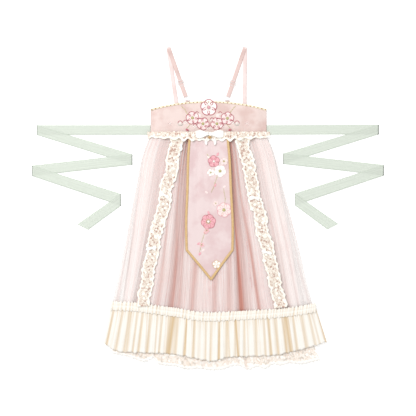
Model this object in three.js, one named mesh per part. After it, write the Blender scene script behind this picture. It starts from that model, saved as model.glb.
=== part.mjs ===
// A girl's chest-high hanfu dress on two shoulder straps, lying on its back with its ties laid out.
// Millimetres. X runs across the dress, Y from the hem to the neck, Z up; the origin is under its middle.
import * as THREE from 'three';

// Driving dimensions
const cloth = 1.0;            // wall of one layer of cloth
const satin = 1.5;            // wall of the bodice band
const seam = 0.3;             // gap kept between neighbouring pieces
const waistY = 191.7;         // top edge of the skirts
const bodice = { left: -148, right: 151, bottom: 192, corner: 253, crown: 274, dome: 4 };
const backNeckY = 252;        // straight top edge of the back band
const foldRise = 6;           // height of the skirt's fold ridges over its troughs
const pleatRise = 5;          // height of the hem ruffle's pleats
const stripWidth = 33;        // gathered lace strips
const edgingWidth = 5.5;      // bias edging of the front panel
const strapWidth = 11;

// The skirts' side edges, and how full their folds stand, from waist to hem
const skirtSides = [
  { y: 192, left: -146, right: 149, fullness: 0.5 },
  { y: 155, left: -162, right: 165, fullness: 0.75 },
  { y: 45, left: -187, right: 195, fullness: 1 },
  { y: -108, left: -217, right: 235, fullness: 1 },
  { y: -200, left: -237, right: 257, fullness: 1.1 },
  { y: -300, left: -262, right: 284, fullness: 1.2 },
];

// Fold lines from waist to hem. Their place is a share of the half width, from -1 at the left edge to 1 at the
// right; rise is a share of foldRise.
const foldLines = [
  { waist: -1.00, hem: -1.00, rise: 0 },
  { waist: -0.985, hem: -0.88, rise: 0.25 },
  { waist: -0.85, hem: -0.82, rise: 0.85 },
  { waist: -0.70, hem: -0.76, rise: 0.1 },
  { waist: -0.58, hem: -0.69, rise: 0.9 },
  { waist: -0.44, hem: -0.55, rise: 1 },
  { waist: -0.33, hem: -0.385, rise: 0.05 },
  { waist: -0.26, hem: -0.26, rise: 0.85 },
  { waist: 0.02, hem: 0.01, rise: 0.7 },
  { waist: 0.28, hem: 0.21, rise: 0.85 },
  { waist: 0.35, hem: 0.28, rise: 0.05 },
  { waist: 0.46, hem: 0.45, rise: 1 },
  { waist: 0.62, hem: 0.66, rise: 0.9 },
  { waist: 0.74, hem: 0.74, rise: 0.1 },
  { waist: 0.86, hem: 0.82, rise: 0.85 },
  { waist: 0.985, hem: 0.88, rise: 0.25 },
  { waist: 1.00, hem: 1.00, rise: 0 },
];
const foldSteps = 3;          // columns from one fold line to the next

// The hem from left to right: the ruffle's seam and lower edge, and the lace flounce's lower edge
const hemLines = [
  { across: -1.00, seamX: -250, seamY: -253, ruffleX: -268, ruffleY: -349, flounceX: -248, flounceY: -374 },
  { across: -0.75, seamX: -183, seamY: -256, ruffleX: -196, ruffleY: -371, flounceX: -186, flounceY: -394 },
  { across: -0.62, seamX: -150, seamY: -261, ruffleX: -158, ruffleY: -372, flounceX: -146, flounceY: -400 },
  { across: -0.35, seamX: -80, seamY: -269, ruffleX: -84, ruffleY: -377, flounceX: -84, flounceY: -409 },
  { across: 0.00, seamX: 8, seamY: -280, ruffleX: 8, ruffleY: -385, flounceX: 8, flounceY: -417 },
  { across: 0.31, seamX: 95, seamY: -276, ruffleX: 100, ruffleY: -382, flounceX: 98, flounceY: -416 },
  { across: 0.57, seamX: 163, seamY: -272, ruffleX: 176, ruffleY: -377, flounceX: 165, flounceY: -411 },
  { across: 0.77, seamX: 215, seamY: -267, ruffleX: 232, ruffleY: -363, flounceX: 222, flounceY: -402 },
  { across: 1.00, seamX: 277, seamY: -258, ruffleX: 309, ruffleY: -345, flounceX: 289, flounceY: -396 },
];
const underskirtReach = 1.1;  // the underskirt's length as a share of the tulle's

// The front panel's side edges, and its point
const panelSides = [
  { y: 186, left: -46, right: 49 },
  { y: 95, left: -52, right: 57 },
  { y: -10, left: -55, right: 62 },
  { y: -108, left: -55, right: 63 },
];
const panelPoint = { x: 8, y: -184 };

// The lace strips' middle lines
const stripLines = {
  left: [{ y: 186, x: -83 }, { y: 33, x: -112 }, { y: -124, x: -147 }, { y: -252, x: -166 }],
  right: [{ y: 186, x: 88 }, { y: 26, x: 121 }, { y: -124, x: 157 }, { y: -256, x: 187 }],
};
const laceBows = [
  { name: 'lace_bow_left_upper', x: -112, y: 33, turn: 0.35 },
  { name: 'lace_bow_left_lower', x: -146, y: -104, turn: 0.2 },
  { name: 'lace_bow_right_upper', x: 120, y: 26, turn: -0.1 },
  { name: 'lace_bow_right_lower', x: 151, y: -114, turn: -0.25 },
];

// Sewn-on five-petal blossoms
const blossoms = [
  { name: 'bodice_blossom_middle', x: 2, y: 259, diameter: 43 },
  { name: 'bodice_blossom_1', x: -39, y: 232, diameter: 27 },
  { name: 'bodice_blossom_2', x: -13, y: 218, diameter: 27 },
  { name: 'bodice_blossom_3', x: 24, y: 218, diameter: 27 },
  { name: 'bodice_blossom_4', x: 49, y: 231, diameter: 27 },
  { name: 'panel_blossom_1', x: 15, y: 120, diameter: 24 },
  { name: 'panel_blossom_2', x: 31, y: 95, diameter: 28 },
  { name: 'panel_blossom_3', x: 41, y: -5, diameter: 35 },
  { name: 'panel_blossom_4', x: 1, y: -35, diameter: 35 },
];

// Each shoulder strap: its fold at the top, where the back run meets the back band, and where the front run
// and the ring lie
const straps = [
  { side: 'left', foldX: -102.5, foldY: 415, backX: -82, frontX: -57, frontY: 286, ringX: -53, ringY: 281.5 },
  { side: 'right', foldX: 96, foldY: 415, backX: 94, frontX: 51.5, frontY: 286, ringX: 50, ringY: 281.5 },
];
const sliderShare = 0.72;     // the slider's place along the front run
const ringRadius = 5.4;

// Each tie: the edges across it at the bodice, at its four folds and at its cut end, and how far a stretch
// lies on the one before it
const ties = {
  left: [
    { upperX: -148.6, upperY: 213.5, lowerX: -148.6, lowerY: 189, lap: 0 },
    { upperX: -442, upperY: 213.5, lowerX: -442, lowerY: 188.5, lap: 95 },
    { upperX: -195, upperY: 138.5, lowerX: -195, lowerY: 111.5, lap: 75 },
    { upperX: -454, upperY: 109.5, lowerX: -454, lowerY: 82.5, lap: 75 },
    { upperX: -224.5, upperY: 36.5, lowerX: -224.5, lowerY: 6, lap: 35 },
    { upperX: -337, upperY: -42, lowerX: -309, lowerY: -56, lap: 0 },
  ],
  right: [
    { upperX: 151.6, upperY: 213.5, lowerX: 151.6, lowerY: 189, lap: 0 },
    { upperX: 441, upperY: 215, lowerX: 441, lowerY: 190, lap: 95 },
    { upperX: 193.5, upperY: 140.5, lowerX: 193.5, lowerY: 113.5, lap: 75 },
    { upperX: 454, upperY: 111, lowerX: 454, lowerY: 84, lap: 75 },
    { upperX: 224, upperY: 37.5, lowerX: 224, lowerY: 7, lap: 35 },
    { upperX: 336, upperY: -41, lowerX: 307.5, lowerY: -55, lap: 0 },
  ],
};
const lapSlope = 20;          // length over which a stretch comes down beside the one it lies on

const materials = {
  tulle: { color: 0xfaf2f0, roughness: 0.9 },
  print: { color: 0xecd5d2, roughness: 0.85 },
  satin: { color: 0xf3e5df, roughness: 0.55 },
  cream: { color: 0xf4eede, roughness: 0.85 },
  lace: { color: 0xf6f1e4, roughness: 0.85 },
  gold: { color: 0xd7b679, roughness: 0.5 },
  white: { color: 0xfbfaf6, roughness: 0.45 },
  blossom: { color: 0xe3b3b6, roughness: 0.7 },
  strap: { color: 0xf3e6e0, roughness: 0.6 },
  plastic: { color: 0xf1ece8, roughness: 0.25 },
  ribbon: { color: 0xe4ecde, roughness: 0.5 },
  bead: { color: 0xc9a36a, roughness: 0.3 },
};

const dress = new THREE.Group();
dress.name = 'hanfu_dress';

const mix = THREE.MathUtils.lerp;

function addPiece(name, geometry, finish) {
  const material = new THREE.MeshStandardMaterial({ ...materials[finish], metalness: 0 });
  const piece = new THREE.Mesh(geometry, material);
  piece.name = name;
  dress.add(piece);
  return piece;
}

// A column of a table at a value of its key column, straight between rows
function read(table, key, value, column) {
  const rising = table[table.length - 1][key] > table[0][key];
  let next = table.findIndex((row) => (rising ? row[key] >= value : row[key] <= value));
  if (next < 0) next = table.length - 1;
  if (next === 0) next = 1;
  const from = table[next - 1];
  const to = table[next];
  const share = (value - from[key]) / (to[key] - from[key]);
  return mix(from[column], to[column], share);
}

// The height of everything laid so far, in square cells
const cell = 3;
const heights = new Map();
const cellOf = (distance) => Math.round(distance / cell);

function layCell(x, y, z) {
  const key = `${cellOf(x)},${cellOf(y)}`;
  heights.set(key, Math.max(heights.get(key) ?? 0, z));
}

// The lower face of a piece laid at x, y: a seam's gap over the highest cloth within its reach
function restingOn(x, y, reachX, reachY) {
  let top = 0;
  for (let i = cellOf(x - reachX) - 1; i <= cellOf(x + reachX) + 1; i += 1) {
    for (let j = cellOf(y - reachY) - 1; j <= cellOf(y + reachY) + 1; j += 1) {
      top = Math.max(top, heights.get(`${i},${j}`) ?? 0);
    }
  }
  return top > 0 ? top + seam : 0;
}

// Marks the top face of a grid of points in the height map
function layTop(grid) {
  for (let i = 0; i + 1 < grid.length; i += 1) {
    for (let j = 0; j + 1 < grid[0].length; j += 1) {
      const [near, side, far, across] = [grid[i][j], grid[i + 1][j], grid[i][j + 1], grid[i + 1][j + 1]];
      const longest = Math.max(near.distanceTo(side), near.distanceTo(far), side.distanceTo(across));
      const steps = Math.ceil(longest / (cell * 0.7)) + 1;
      for (let a = 0; a <= steps; a += 1) {
        const left = near.clone().lerp(side, a / steps);
        const right = far.clone().lerp(across, a / steps);
        for (let b = 0; b <= steps; b += 1) {
          const point = left.clone().lerp(right, b / steps);
          layCell(point.x, point.y, point.z);
        }
      }
    }
  }
}

const even = (count) => Array.from({ length: count + 1 }, (_, index) => index / count);

// A wall of cloth. place(u, v) is a point of its lower face, with u growing across and v down the dress.
function clothWall(name, finish, across, down, wall, place) {
  const lower = across.map((u, i) => down.map((v, j) => place(u, v, i, j)));
  const upper = lower.map((line) => line.map((point) => point.clone().add(new THREE.Vector3(0, 0, wall))));
  const points = [...lower.flat(), ...upper.flat()];
  const rows = down.length;
  const layer = across.length * rows;
  const at = (i, j, side) => side * layer + i * rows + j;
  const faces = [];
  const quad = (a, b, c, d) => faces.push(a, b, c, a, c, d);
  for (let i = 0; i + 1 < across.length; i += 1) {
    for (let j = 0; j + 1 < rows; j += 1) {
      quad(at(i, j, 1), at(i, j + 1, 1), at(i + 1, j + 1, 1), at(i + 1, j, 1));
      quad(at(i, j, 0), at(i + 1, j, 0), at(i + 1, j + 1, 0), at(i, j + 1, 0));
    }
    quad(at(i, 0, 0), at(i, 0, 1), at(i + 1, 0, 1), at(i + 1, 0, 0));
    quad(at(i, rows - 1, 1), at(i, rows - 1, 0), at(i + 1, rows - 1, 0), at(i + 1, rows - 1, 1));
  }
  const last = across.length - 1;
  for (let j = 0; j + 1 < rows; j += 1) {
    quad(at(0, j, 1), at(0, j, 0), at(0, j + 1, 0), at(0, j + 1, 1));
    quad(at(last, j, 0), at(last, j, 1), at(last, j + 1, 1), at(last, j + 1, 0));
  }
  const geometry = new THREE.BufferGeometry();
  const numbers = points.flatMap((point) => point.toArray());
  geometry.setAttribute('position', new THREE.Float32BufferAttribute(numbers, 3));
  geometry.setIndex(faces);
  geometry.computeVertexNormals();
  layTop(upper);
  return addPiece(name, geometry, finish);
}

// Skirts: columns follow the fold lines, rows follow the side table
const skirtColumns = foldLines.slice(1).flatMap((line, index) => {
  const from = foldLines[index];
  return even(foldSteps).slice(index === 0 ? 0 : 1).map((share) => {
    const round = share * share * (3 - 2 * share);
    return {
      waist: mix(from.waist, line.waist, share),
      hem: mix(from.hem, line.hem, share),
      rise: mix(from.rise, line.rise, round),
    };
  });
});
const underskirtColumns = skirtColumns.slice(foldSteps, skirtColumns.length - foldSteps);
const coarseColumns = hemLines.map((row) => row.across);
const skirtRows = [0, 0.08, 0.32, 0.65, 0.85, 1];
const underskirtRows = [...skirtRows, underskirtReach];

const seamYAt = (across) => read(hemLines, 'across', across, 'seamY');

function skirtPoint(across, v) {
  const y = mix(waistY, seamYAt(across), v);
  const left = read(skirtSides, 'y', y, 'left');
  const right = read(skirtSides, 'y', y, 'right');
  return new THREE.Vector3(mix(left, right, (across + 1) / 2), y, 0);
}

function foldHeight(column, y) {
  return column.rise * foldRise * read(skirtSides, 'y', y, 'fullness');
}

const acrossAt = (column, v) => mix(column.waist, column.hem, Math.min(v, 1));
const underskirtEdge = foldLines[1];

function addBackLayers() {
  clothWall('tulle_skirt_back', 'tulle', coarseColumns, skirtRows, cloth, (u, v) => skirtPoint(u, v));
  clothWall('hem_ruffle_back', 'cream', even(20), [0, 0.5, 1], cloth, (u, v) => ruffleOutline(u, v, cloth));
  const level = cloth + seam;
  clothWall('printed_skirt_back', 'print', coarseColumns, underskirtRows, cloth, (u, v) => {
    const point = skirtPoint(u * -acrossAt(underskirtEdge, v), v);
    point.z = level;
    return point;
  });
  clothWall('lace_flounce_back', 'lace', even(16), [0, 1], cloth, (u, v) => {
    const point = flounceOutline(u, v);
    point.z = level;
    return point;
  });
}

// The hem ruffle from its seam (v = 0) to its lower edge (v = 1), kept `gap` below the skirt
function ruffleOutline(u, v, gap) {
  const across = mix(-1, 1, u);
  const row = (column) => read(hemLines, 'across', across, column);
  return new THREE.Vector3(
    mix(row('seamX'), row('ruffleX'), v),
    mix(row('seamY') - seam - gap, row('ruffleY'), v),
    0,
  );
}

// The lace flounce from the underskirt's lower edge to its own
function flounceOutline(u, v) {
  const across = mix(-1, 1, u);
  const top = skirtPoint(across * underskirtEdge.hem * -1, underskirtReach);
  const row = (column) => read(hemLines, 'across', across, column);
  return new THREE.Vector3(mix(top.x, row('flounceX'), v), mix(top.y - 2 * cloth, row('flounceY'), v), 0);
}

const pleatWeight = (index) => 0.72 + 0.28 * Math.sin(index * 2.3) * Math.cos(index * 0.9);

function addFrontSkirts() {
  const level = 2 * (cloth + seam);
  const printed = (column, v) => {
    const point = skirtPoint(acrossAt(column, v), v);
    point.z = level + foldHeight(column, point.y);
    return point;
  };
  clothWall('printed_skirt_front', 'print', underskirtColumns, underskirtRows, cloth, printed);
  clothWall('lace_flounce_front', 'lace', even(44), [0, 0.6, 1], cloth, (u, v, i) => {
    const point = flounceOutline(u, v);
    const pleat = i % 2 ? pleatWeight(i) * mix(0.3, 1, v) : 0;
    point.z = level + foldRise * 0.4 + pleat * pleatRise * 0.7;
    return point;
  });
  clothWall('tulle_skirt_front', 'tulle', skirtColumns, skirtRows, cloth, (column, v, i) => {
    const outside = i < foldSteps || i >= skirtColumns.length - foldSteps;
    const point = printed(column, v);
    point.z = outside ? mix(cloth + seam, point.z + cloth + seam, column.rise / underskirtEdge.rise)
      : point.z + cloth + seam;
    return point;
  });
}

function addHem() {
  const columns = 62;
  const pleatWidth = 10;
  clothWall('hem_ruffle_front', 'cream', even(columns), [0, 0.35, 0.7, 1], cloth, (u, v, i) => {
    const point = ruffleOutline(u, v, cloth);
    const pleat = i % 2 ? pleatWeight(i) * mix(0.25, 1, v) : 0;
    point.z = restingOn(point.x, point.y, pleatWidth, 36) + pleat * pleatRise;
    return point;
  });
  const headingDrop = 11;
  const headingLift = 9;
  clothWall('hem_heading', 'cream', even(56), [0, 1], cloth, (u, v, i) => {
    const point = ruffleOutline(u, 0, 0);
    const wave = i % 2 ? 1 : -1;
    point.y += mix(headingLift + wave, -headingDrop - wave, v);
    point.z = restingOn(point.x, point.y, 11, headingDrop + headingLift);
    return point;
  });
}

// Bodice band: its front stands in a low dome, its top edge is arched
function bodiceTop(x) {
  const middle = (bodice.left + bodice.right) / 2;
  const share = (x - middle) / (bodice.right - middle);
  return bodice.crown - (bodice.crown - bodice.corner) * share * share;
}

function addBodice() {
  clothWall('bodice_back', 'satin', even(8), [0, 1], satin, (u, v) => new THREE.Vector3(
    mix(bodice.left, bodice.right, u),
    mix(backNeckY, bodice.bottom, v),
    0,
  ));
  clothWall('bodice_front', 'satin', even(14), even(4), satin, (u, v) => {
    const x = mix(bodice.left, bodice.right, u);
    const dome = Math.sin(Math.PI * u) * Math.sin(Math.PI * (0.15 + 0.7 * v));
    return new THREE.Vector3(x, mix(bodiceTop(x), bodice.bottom, v), satin + seam + bodice.dome * dome);
  });
  const trimWidth = 6;
  const overhang = 1.5;
  clothWall('bodice_trim', 'gold', even(28), [0, 1], cloth, (u, v) => {
    const x = mix(bodice.left, bodice.right, u);
    const y = bodiceTop(x) + overhang - v * trimWidth;
    return new THREE.Vector3(x, y, restingOn(x, y, 11, trimWidth));
  });
}

function addPanel() {
  const shoulder = panelSides[panelSides.length - 1];
  const tipWidth = 3;
  const rows = [...panelSides.map((row) => row.y), -146, panelPoint.y];
  const sideAt = (y, side) => {
    if (y >= shoulder.y) return read(panelSides, 'y', y, side);
    const share = (shoulder.y - y) / (shoulder.y - panelPoint.y);
    return mix(shoulder[side], panelPoint.x + (side === 'left' ? -tipWidth : tipWidth) / 2, share);
  };
  clothWall('front_panel', 'print', even(6), rows, cloth, (u, y) => {
    const x = mix(sideAt(y, 'left'), sideAt(y, 'right'), u);
    return new THREE.Vector3(x, y, restingOn(x, y, 20, 40));
  });
  const slope = Math.atan2(shoulder.y - panelPoint.y, (shoulder.right - shoulder.left) / 2);
  const mitre = edgingWidth / Math.cos(slope);
  const shoulderDrop = edgingWidth * Math.tan(slope / 2);
  const edgingReach = 30;
  const strips = {
    left: [...panelSides.map((row) => ({ x: row.left, y: row.y, inX: edgingWidth, inY: 0 })),
      { x: panelPoint.x - seam / 2, y: panelPoint.y, inX: 0, inY: mitre }],
    right: [{ x: panelPoint.x + seam / 2, y: panelPoint.y, inX: 0, inY: mitre },
      ...panelSides.toReversed().map((row) => ({ x: row.right, y: row.y, inX: -edgingWidth, inY: 0 }))],
  };
  strips.left.at(-2).inY = shoulderDrop;
  strips.right[1].inY = shoulderDrop;
  for (const [side, path] of Object.entries(strips)) {
    clothWall(`panel_edging_${side}`, 'gold', even(path.length - 1), [1, 0], cloth, (u, v, i) => {
      const corner = path[i];
      const x = corner.x + corner.inX * v;
      const y = corner.y + corner.inY * v;
      return new THREE.Vector3(x, y, restingOn(x, y, edgingReach, 40));
    });
  }
}

// Gathered lace: both edges wave as the strip goes down
function addLaceStrips() {
  const scallop = 2.5;
  const rows = 30;
  for (const side of ['left', 'right']) {
    const line = stripLines[side];
    const last = line[line.length - 1].y;
    clothWall(`lace_strip_${side}`, 'lace', [-1, 0, 1], even(rows), cloth, (u, v, i, j) => {
      const y = mix(line[0].y, last, v);
      const x = read(line, 'y', y, 'x') + u * stripWidth / 2 + scallop * (j % 2 ? 1 : -1) * u;
      return new THREE.Vector3(x, y, restingOn(x, y, 20, 17));
    });
  }
}

function addWaistRuffle() {
  const top = 198;
  const edgeDepth = 17;
  const middleDepth = 26;
  const overhang = 9;
  clothWall('waist_ruffle', 'lace', even(44), [0, 0.45, 1], cloth, (u, v, i) => {
    const spread = Math.sin(Math.PI * u);
    const x = mix(bodice.left - overhang * v, bodice.right + overhang * v, u);
    const wave = i % 2 ? 2 : -2;
    const y = top - v * (mix(edgeDepth, middleDepth, spread) + wave);
    const clear = restingOn(x, y, 9, 16);
    return new THREE.Vector3(x, y, Math.max(clear, cloth + seam) + (i % 2) * 2 * v);
  });
}

// A flat outline of this wall, laid on whatever is highest within its reach
function addApplique(name, finish, shape, wall, x, y, reach, turn = 0) {
  const geometry = new THREE.ExtrudeGeometry(shape, { depth: wall, bevelEnabled: false, curveSegments: 5 });
  const base = restingOn(x, y, reach, reach);
  for (let dx = -reach; dx <= reach; dx += cell) {
    for (let dy = -reach; dy <= reach; dy += cell) layCell(x + dx, y + dy, base + wall);
  }
  const piece = addPiece(name, geometry, finish);
  piece.rotation.z = turn;
  piece.position.set(x, y, base);
}

function blossomShape(diameter) {
  const petals = 5;
  const steps = petals * 5;
  const notch = 0.3;
  const points = [];
  for (let step = 0; step < steps; step += 1) {
    const angle = (step / steps) * Math.PI * 2 + Math.PI / 2;
    const bulge = Math.sqrt(Math.abs(Math.cos((angle - Math.PI / 2) * petals / 2)));
    const radius = (diameter / 2) * (1 - notch + notch * bulge);
    points.push(new THREE.Vector2(Math.cos(angle) * radius, Math.sin(angle) * radius));
  }
  return new THREE.Shape(points);
}

// A loop of ribbon seen flat, its narrow end at the knot and its round end at `reach`
function loopShape(reach, height, knot) {
  const shape = new THREE.Shape();
  shape.moveTo(knot, -height * 0.16);
  shape.bezierCurveTo(reach * 0.4, -height * 0.55, reach, -height * 0.7, reach, 0);
  shape.bezierCurveTo(reach, height * 0.7, reach * 0.4, height * 0.55, knot, height * 0.16);
  return shape;
}

function addBlossoms() {
  for (const row of blossoms) {
    addApplique(row.name, 'blossom', blossomShape(row.diameter), 1.6, row.x, row.y, row.diameter / 2);
  }
}

function addBows() {
  const bow = { x: 4, y: 191, reach: 36, height: 22, knot: 6.5 };
  const bevel = 1;
  const base = restingOn(bow.x, bow.y, bow.reach, bow.height / 2);
  const loop = () => new THREE.ExtrudeGeometry(loopShape(bow.reach, bow.height, bow.knot), {
    depth: 3, bevelThickness: bevel, bevelSize: bevel, bevelSegments: 1, curveSegments: 6,
  });
  for (const [side, turn] of [['left', Math.PI], ['right', 0]]) {
    const piece = addPiece(`bow_loop_${side}`, loop(), 'white');
    piece.rotation.z = turn;
    piece.position.set(bow.x, bow.y, base + bevel);
  }
  const knotRadius = bow.knot - bevel - seam;
  const knot = addPiece('bow_knot', new THREE.SphereGeometry(knotRadius, 10, 6), 'bead');
  knot.scale.z = 0.6;
  knot.position.set(bow.x, bow.y, base + knotRadius * 0.6);
  for (const [side, x] of [['left', -5], ['right', 18]]) {
    const y = 172;
    const drop = addPiece(`bow_drop_${side}`, new THREE.SphereGeometry(1, 8, 6), 'white');
    drop.scale.set(4, 6.5, 3);
    drop.position.set(x, y, restingOn(x, y, 5, 8) + 3);
  }
  for (const row of laceBows) {
    const shape = new THREE.Shape();
    shape.moveTo(-13, -4.5);
    shape.lineTo(-2, -1.8);
    shape.lineTo(2, -1.8);
    shape.lineTo(13, -4.5);
    shape.lineTo(13, 4.5);
    shape.lineTo(2, 1.8);
    shape.lineTo(-2, 1.8);
    shape.lineTo(-13, 4.5);
    addApplique(row.name, 'white', shape, 1.5, row.x, row.y, 13, row.turn);
  }
}

// A flat strip through edges across it; each edge has an upper and a lower end and a height
function addStrip(name, finish, edges) {
  clothWall(name, finish, even(edges.length - 1), [0, 1], cloth, (u, v, i) => {
    const edge = edges[i];
    return new THREE.Vector3(mix(edge.upperX, edge.lowerX, v), mix(edge.upperY, edge.lowerY, v), edge.z);
  });
}

function edgeBetween(from, to, share, z) {
  return {
    upperX: mix(from.upperX, to.upperX, share),
    upperY: mix(from.upperY, to.upperY, share),
    lowerX: mix(from.lowerX, to.lowerX, share),
    lowerY: mix(from.lowerY, to.lowerY, share),
    z,
  };
}

function addTies() {
  for (const [side, folds] of Object.entries(ties)) {
    folds.slice(1).forEach((fold, index) => {
      const from = folds[index];
      const length = Math.hypot(fold.upperX - from.upperX, fold.upperY - from.upperY);
      const high = from.lap > 0 ? cloth + seam : 0;
      const edges = [edgeBetween(from, fold, 0, high)];
      if (from.lap > 0) {
        edges.push(edgeBetween(from, fold, from.lap / length, high));
        edges.push(edgeBetween(from, fold, (from.lap + lapSlope) / length, 0));
      }
      edges.push(edgeBetween(from, fold, 1, 0));
      // edges run left to right, so that the strip's top faces up
      if (fold.upperX < from.upperX) edges.reverse();
      addStrip(`tie_${side}_${index + 1}`, 'ribbon', edges);
    });
  }
}

function sliderShape() {
  const outer = { x: 8, y: 7.5 };
  const inner = { x: 6, y: 2.2 };
  const frame = new THREE.Shape();
  const box = (path, x, y, centreY) => {
    path.moveTo(-x, centreY - y);
    path.lineTo(x, centreY - y);
    path.lineTo(x, centreY + y);
    path.lineTo(-x, centreY + y);
    path.closePath();
    return path;
  };
  box(frame, outer.x, outer.y, 0);
  for (const centreY of [-3.6, 3.6]) frame.holes.push(box(new THREE.Path(), inner.x, inner.y, centreY));
  return frame;
}

function addStraps() {
  const half = strapWidth / 2;
  const lapEnd = { high: 350, low: 332 };
  for (const strap of straps) {
    const frontX = (y) => mix(strap.foldX, strap.frontX, (strap.foldY - y) / (strap.foldY - strap.frontY));
    const name = (piece) => `strap_${piece}_${strap.side}`;
    const strip = (piece, edges) => {
      clothWall(name(piece), 'strap', [-half, half], even(edges.length - 1), cloth, (u, v, i, j) => (
        new THREE.Vector3(edges[j].x + u, edges[j].y, edges[j].z)
      ));
    };
    strip('back', [
      { x: strap.foldX, y: strap.foldY, z: 0 },
      { x: strap.backX, y: backNeckY + seam, z: 0 },
    ]);
    strip('front', [
      { x: strap.foldX, y: strap.foldY, z: cloth + seam },
      { x: frontX(lapEnd.high), y: lapEnd.high, z: cloth + seam },
      { x: frontX(lapEnd.low), y: lapEnd.low, z: seam },
      { x: strap.frontX, y: strap.frontY, z: seam },
    ]);
    const tabTop = strap.ringY - ringRadius + 1.5;
    const tabLength = 15;
    strip('tab', [
      { x: strap.ringX, y: tabTop, z: 0 },
      { x: strap.ringX, y: tabTop - tabLength, z: 0 },
    ]);
    const level = cloth + 2 * seam;
    const sliderY = mix(strap.foldY, strap.frontY, sliderShare);
    const slider = new THREE.ExtrudeGeometry(sliderShape(), { depth: 1.6, bevelEnabled: false });
    const sliderPiece = addPiece(name('slider'), slider, 'plastic');
    sliderPiece.rotation.z = Math.atan2(strap.frontX - strap.foldX, strap.foldY - strap.frontY);
    sliderPiece.position.set(frontX(sliderY), sliderY, level);
    const wire = 1.1;
    const section = even(6).map((turn) => new THREE.Vector2(
      ringRadius + wire * Math.cos(turn * 2 * Math.PI),
      wire * Math.sin(turn * 2 * Math.PI),
    ));
    const ring = new THREE.LatheGeometry(section, 10);
    ring.rotateX(Math.PI / 2);
    addPiece(name('ring'), ring, 'plastic').position.set(strap.ringX, strap.ringY, level + wire);
  }
}

addBackLayers();
addFrontSkirts();
addHem();
addBodice();
addPanel();
addLaceStrips();
addWaistRuffle();
addBlossoms();
addBows();
addStraps();
addTies();

export default dress;
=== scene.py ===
import math

import bpy
import numpy as np
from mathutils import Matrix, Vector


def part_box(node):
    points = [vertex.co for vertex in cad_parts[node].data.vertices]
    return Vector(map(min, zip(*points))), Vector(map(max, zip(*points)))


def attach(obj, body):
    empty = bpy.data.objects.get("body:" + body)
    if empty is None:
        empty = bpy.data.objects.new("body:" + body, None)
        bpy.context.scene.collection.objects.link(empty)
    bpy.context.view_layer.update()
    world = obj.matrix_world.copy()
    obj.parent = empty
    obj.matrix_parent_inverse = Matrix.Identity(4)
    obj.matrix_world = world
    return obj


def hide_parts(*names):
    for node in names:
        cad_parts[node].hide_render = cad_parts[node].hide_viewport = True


# Lengths in this script are millimetres; meshes are written in metres.
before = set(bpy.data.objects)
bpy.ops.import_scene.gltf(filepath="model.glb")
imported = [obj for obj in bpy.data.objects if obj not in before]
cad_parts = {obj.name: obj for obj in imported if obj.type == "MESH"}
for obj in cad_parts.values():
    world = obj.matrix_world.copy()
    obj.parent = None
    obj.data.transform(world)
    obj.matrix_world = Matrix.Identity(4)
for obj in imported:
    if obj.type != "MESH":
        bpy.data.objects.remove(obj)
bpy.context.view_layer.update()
millimetre = 0.001
layerGap = 0.4          # air between two layers of cloth


def nodeBox(name):
    # a node's corners in millimetres, to 0.01 mm
    low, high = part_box(name)
    return np.round(np.array(low) / millimetre, 2), np.round(np.array(high) / millimetre, 2)


def nodeMiddle(name):
    low, high = nodeBox(name)
    return np.round((low[:2] + high[:2]) / 2, 2)


# Small helpers

def mix(a, b, share):
    return a + (b - a) * share


def smooth(share):
    share = np.clip(share, 0, 1)
    return share * share * (3 - 2 * share)


def readTable(table, key, column, value):
    # a smooth curve through the rows of a table
    keys = np.array([row[key] for row in table], float)
    values = np.array([row[column] for row in table], float)
    if keys[0] > keys[-1]:
        keys, values = keys[::-1], values[::-1]
    value = np.asarray(value, float)
    slopes = np.gradient(values, keys)
    index = np.clip(np.searchsorted(keys, value) - 1, 0, len(keys) - 2)
    span = keys[index + 1] - keys[index]
    t = np.clip((value - keys[index]) / span, 0, 1)
    return (values[index] * (1 + 2 * t) * (1 - t) ** 2 + values[index + 1] * t * t * (3 - 2 * t)
            + span * (slopes[index] * t * (1 - t) ** 2 + slopes[index + 1] * t * t * (t - 1)))


def ripple(seed, place, waves, longest, shortest):
    # an uneven wave between -1 and 1, the sum of a few sines
    chance = np.random.default_rng(seed)
    total = np.zeros_like(np.asarray(place, float))
    for number in range(waves):
        length = mix(longest, shortest, (number + chance.uniform(0.1, 0.9)) / waves)
        total = total + np.sin(place * 2 * math.pi / length + chance.uniform(0, 6.28))
    return total / waves ** 0.5 / 1.6


# The height of the cloth laid so far, in square cells
heightMap = {"low": (-480, -440), "cell": 2.0, "cells": (480, 440)}
laidHeights = np.zeros(heightMap["cells"])


def cellsOf(x, y):
    column = np.clip((x - heightMap["low"][0]) / heightMap["cell"], 0, heightMap["cells"][0] - 1.001)
    row = np.clip((y - heightMap["low"][1]) / heightMap["cell"], 0, heightMap["cells"][1] - 1.001)
    return column, row


def lay(points):
    column, row = cellsOf(points[..., 0], points[..., 1])
    np.maximum.at(laidHeights, (np.round(column).astype(int), np.round(row).astype(int)), points[..., 2])


def restingOn(x, y, reach, gap=layerGap):
    # the highest cloth around each place, softened as cloth bridges over folds
    steps = max(1, int(math.ceil(reach / heightMap["cell"])))
    highest = laidHeights
    for axis in (0, 1):
        wide = range(-2 * steps, 2 * steps + 1)
        highest = np.maximum.reduce([np.roll(highest, shift, axis) for shift in wide])
    for axis in (0, 1):
        near = range(-steps, steps + 1)
        highest = sum(np.roll(highest, shift, axis) for shift in near) / len(near)
    column, row = cellsOf(np.asarray(x, float), np.asarray(y, float))
    i, j = column.astype(int), row.astype(int)
    a, b = column - i, row - j
    ground = (highest[i, j] * (1 - a) * (1 - b) + highest[i + 1, j] * a * (1 - b)
              + highest[i, j + 1] * (1 - a) * b + highest[i + 1, j + 1] * a * b)
    return ground + gap


def stack(*parts):
    return np.stack(np.broadcast_arrays(*parts), -1)


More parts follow.
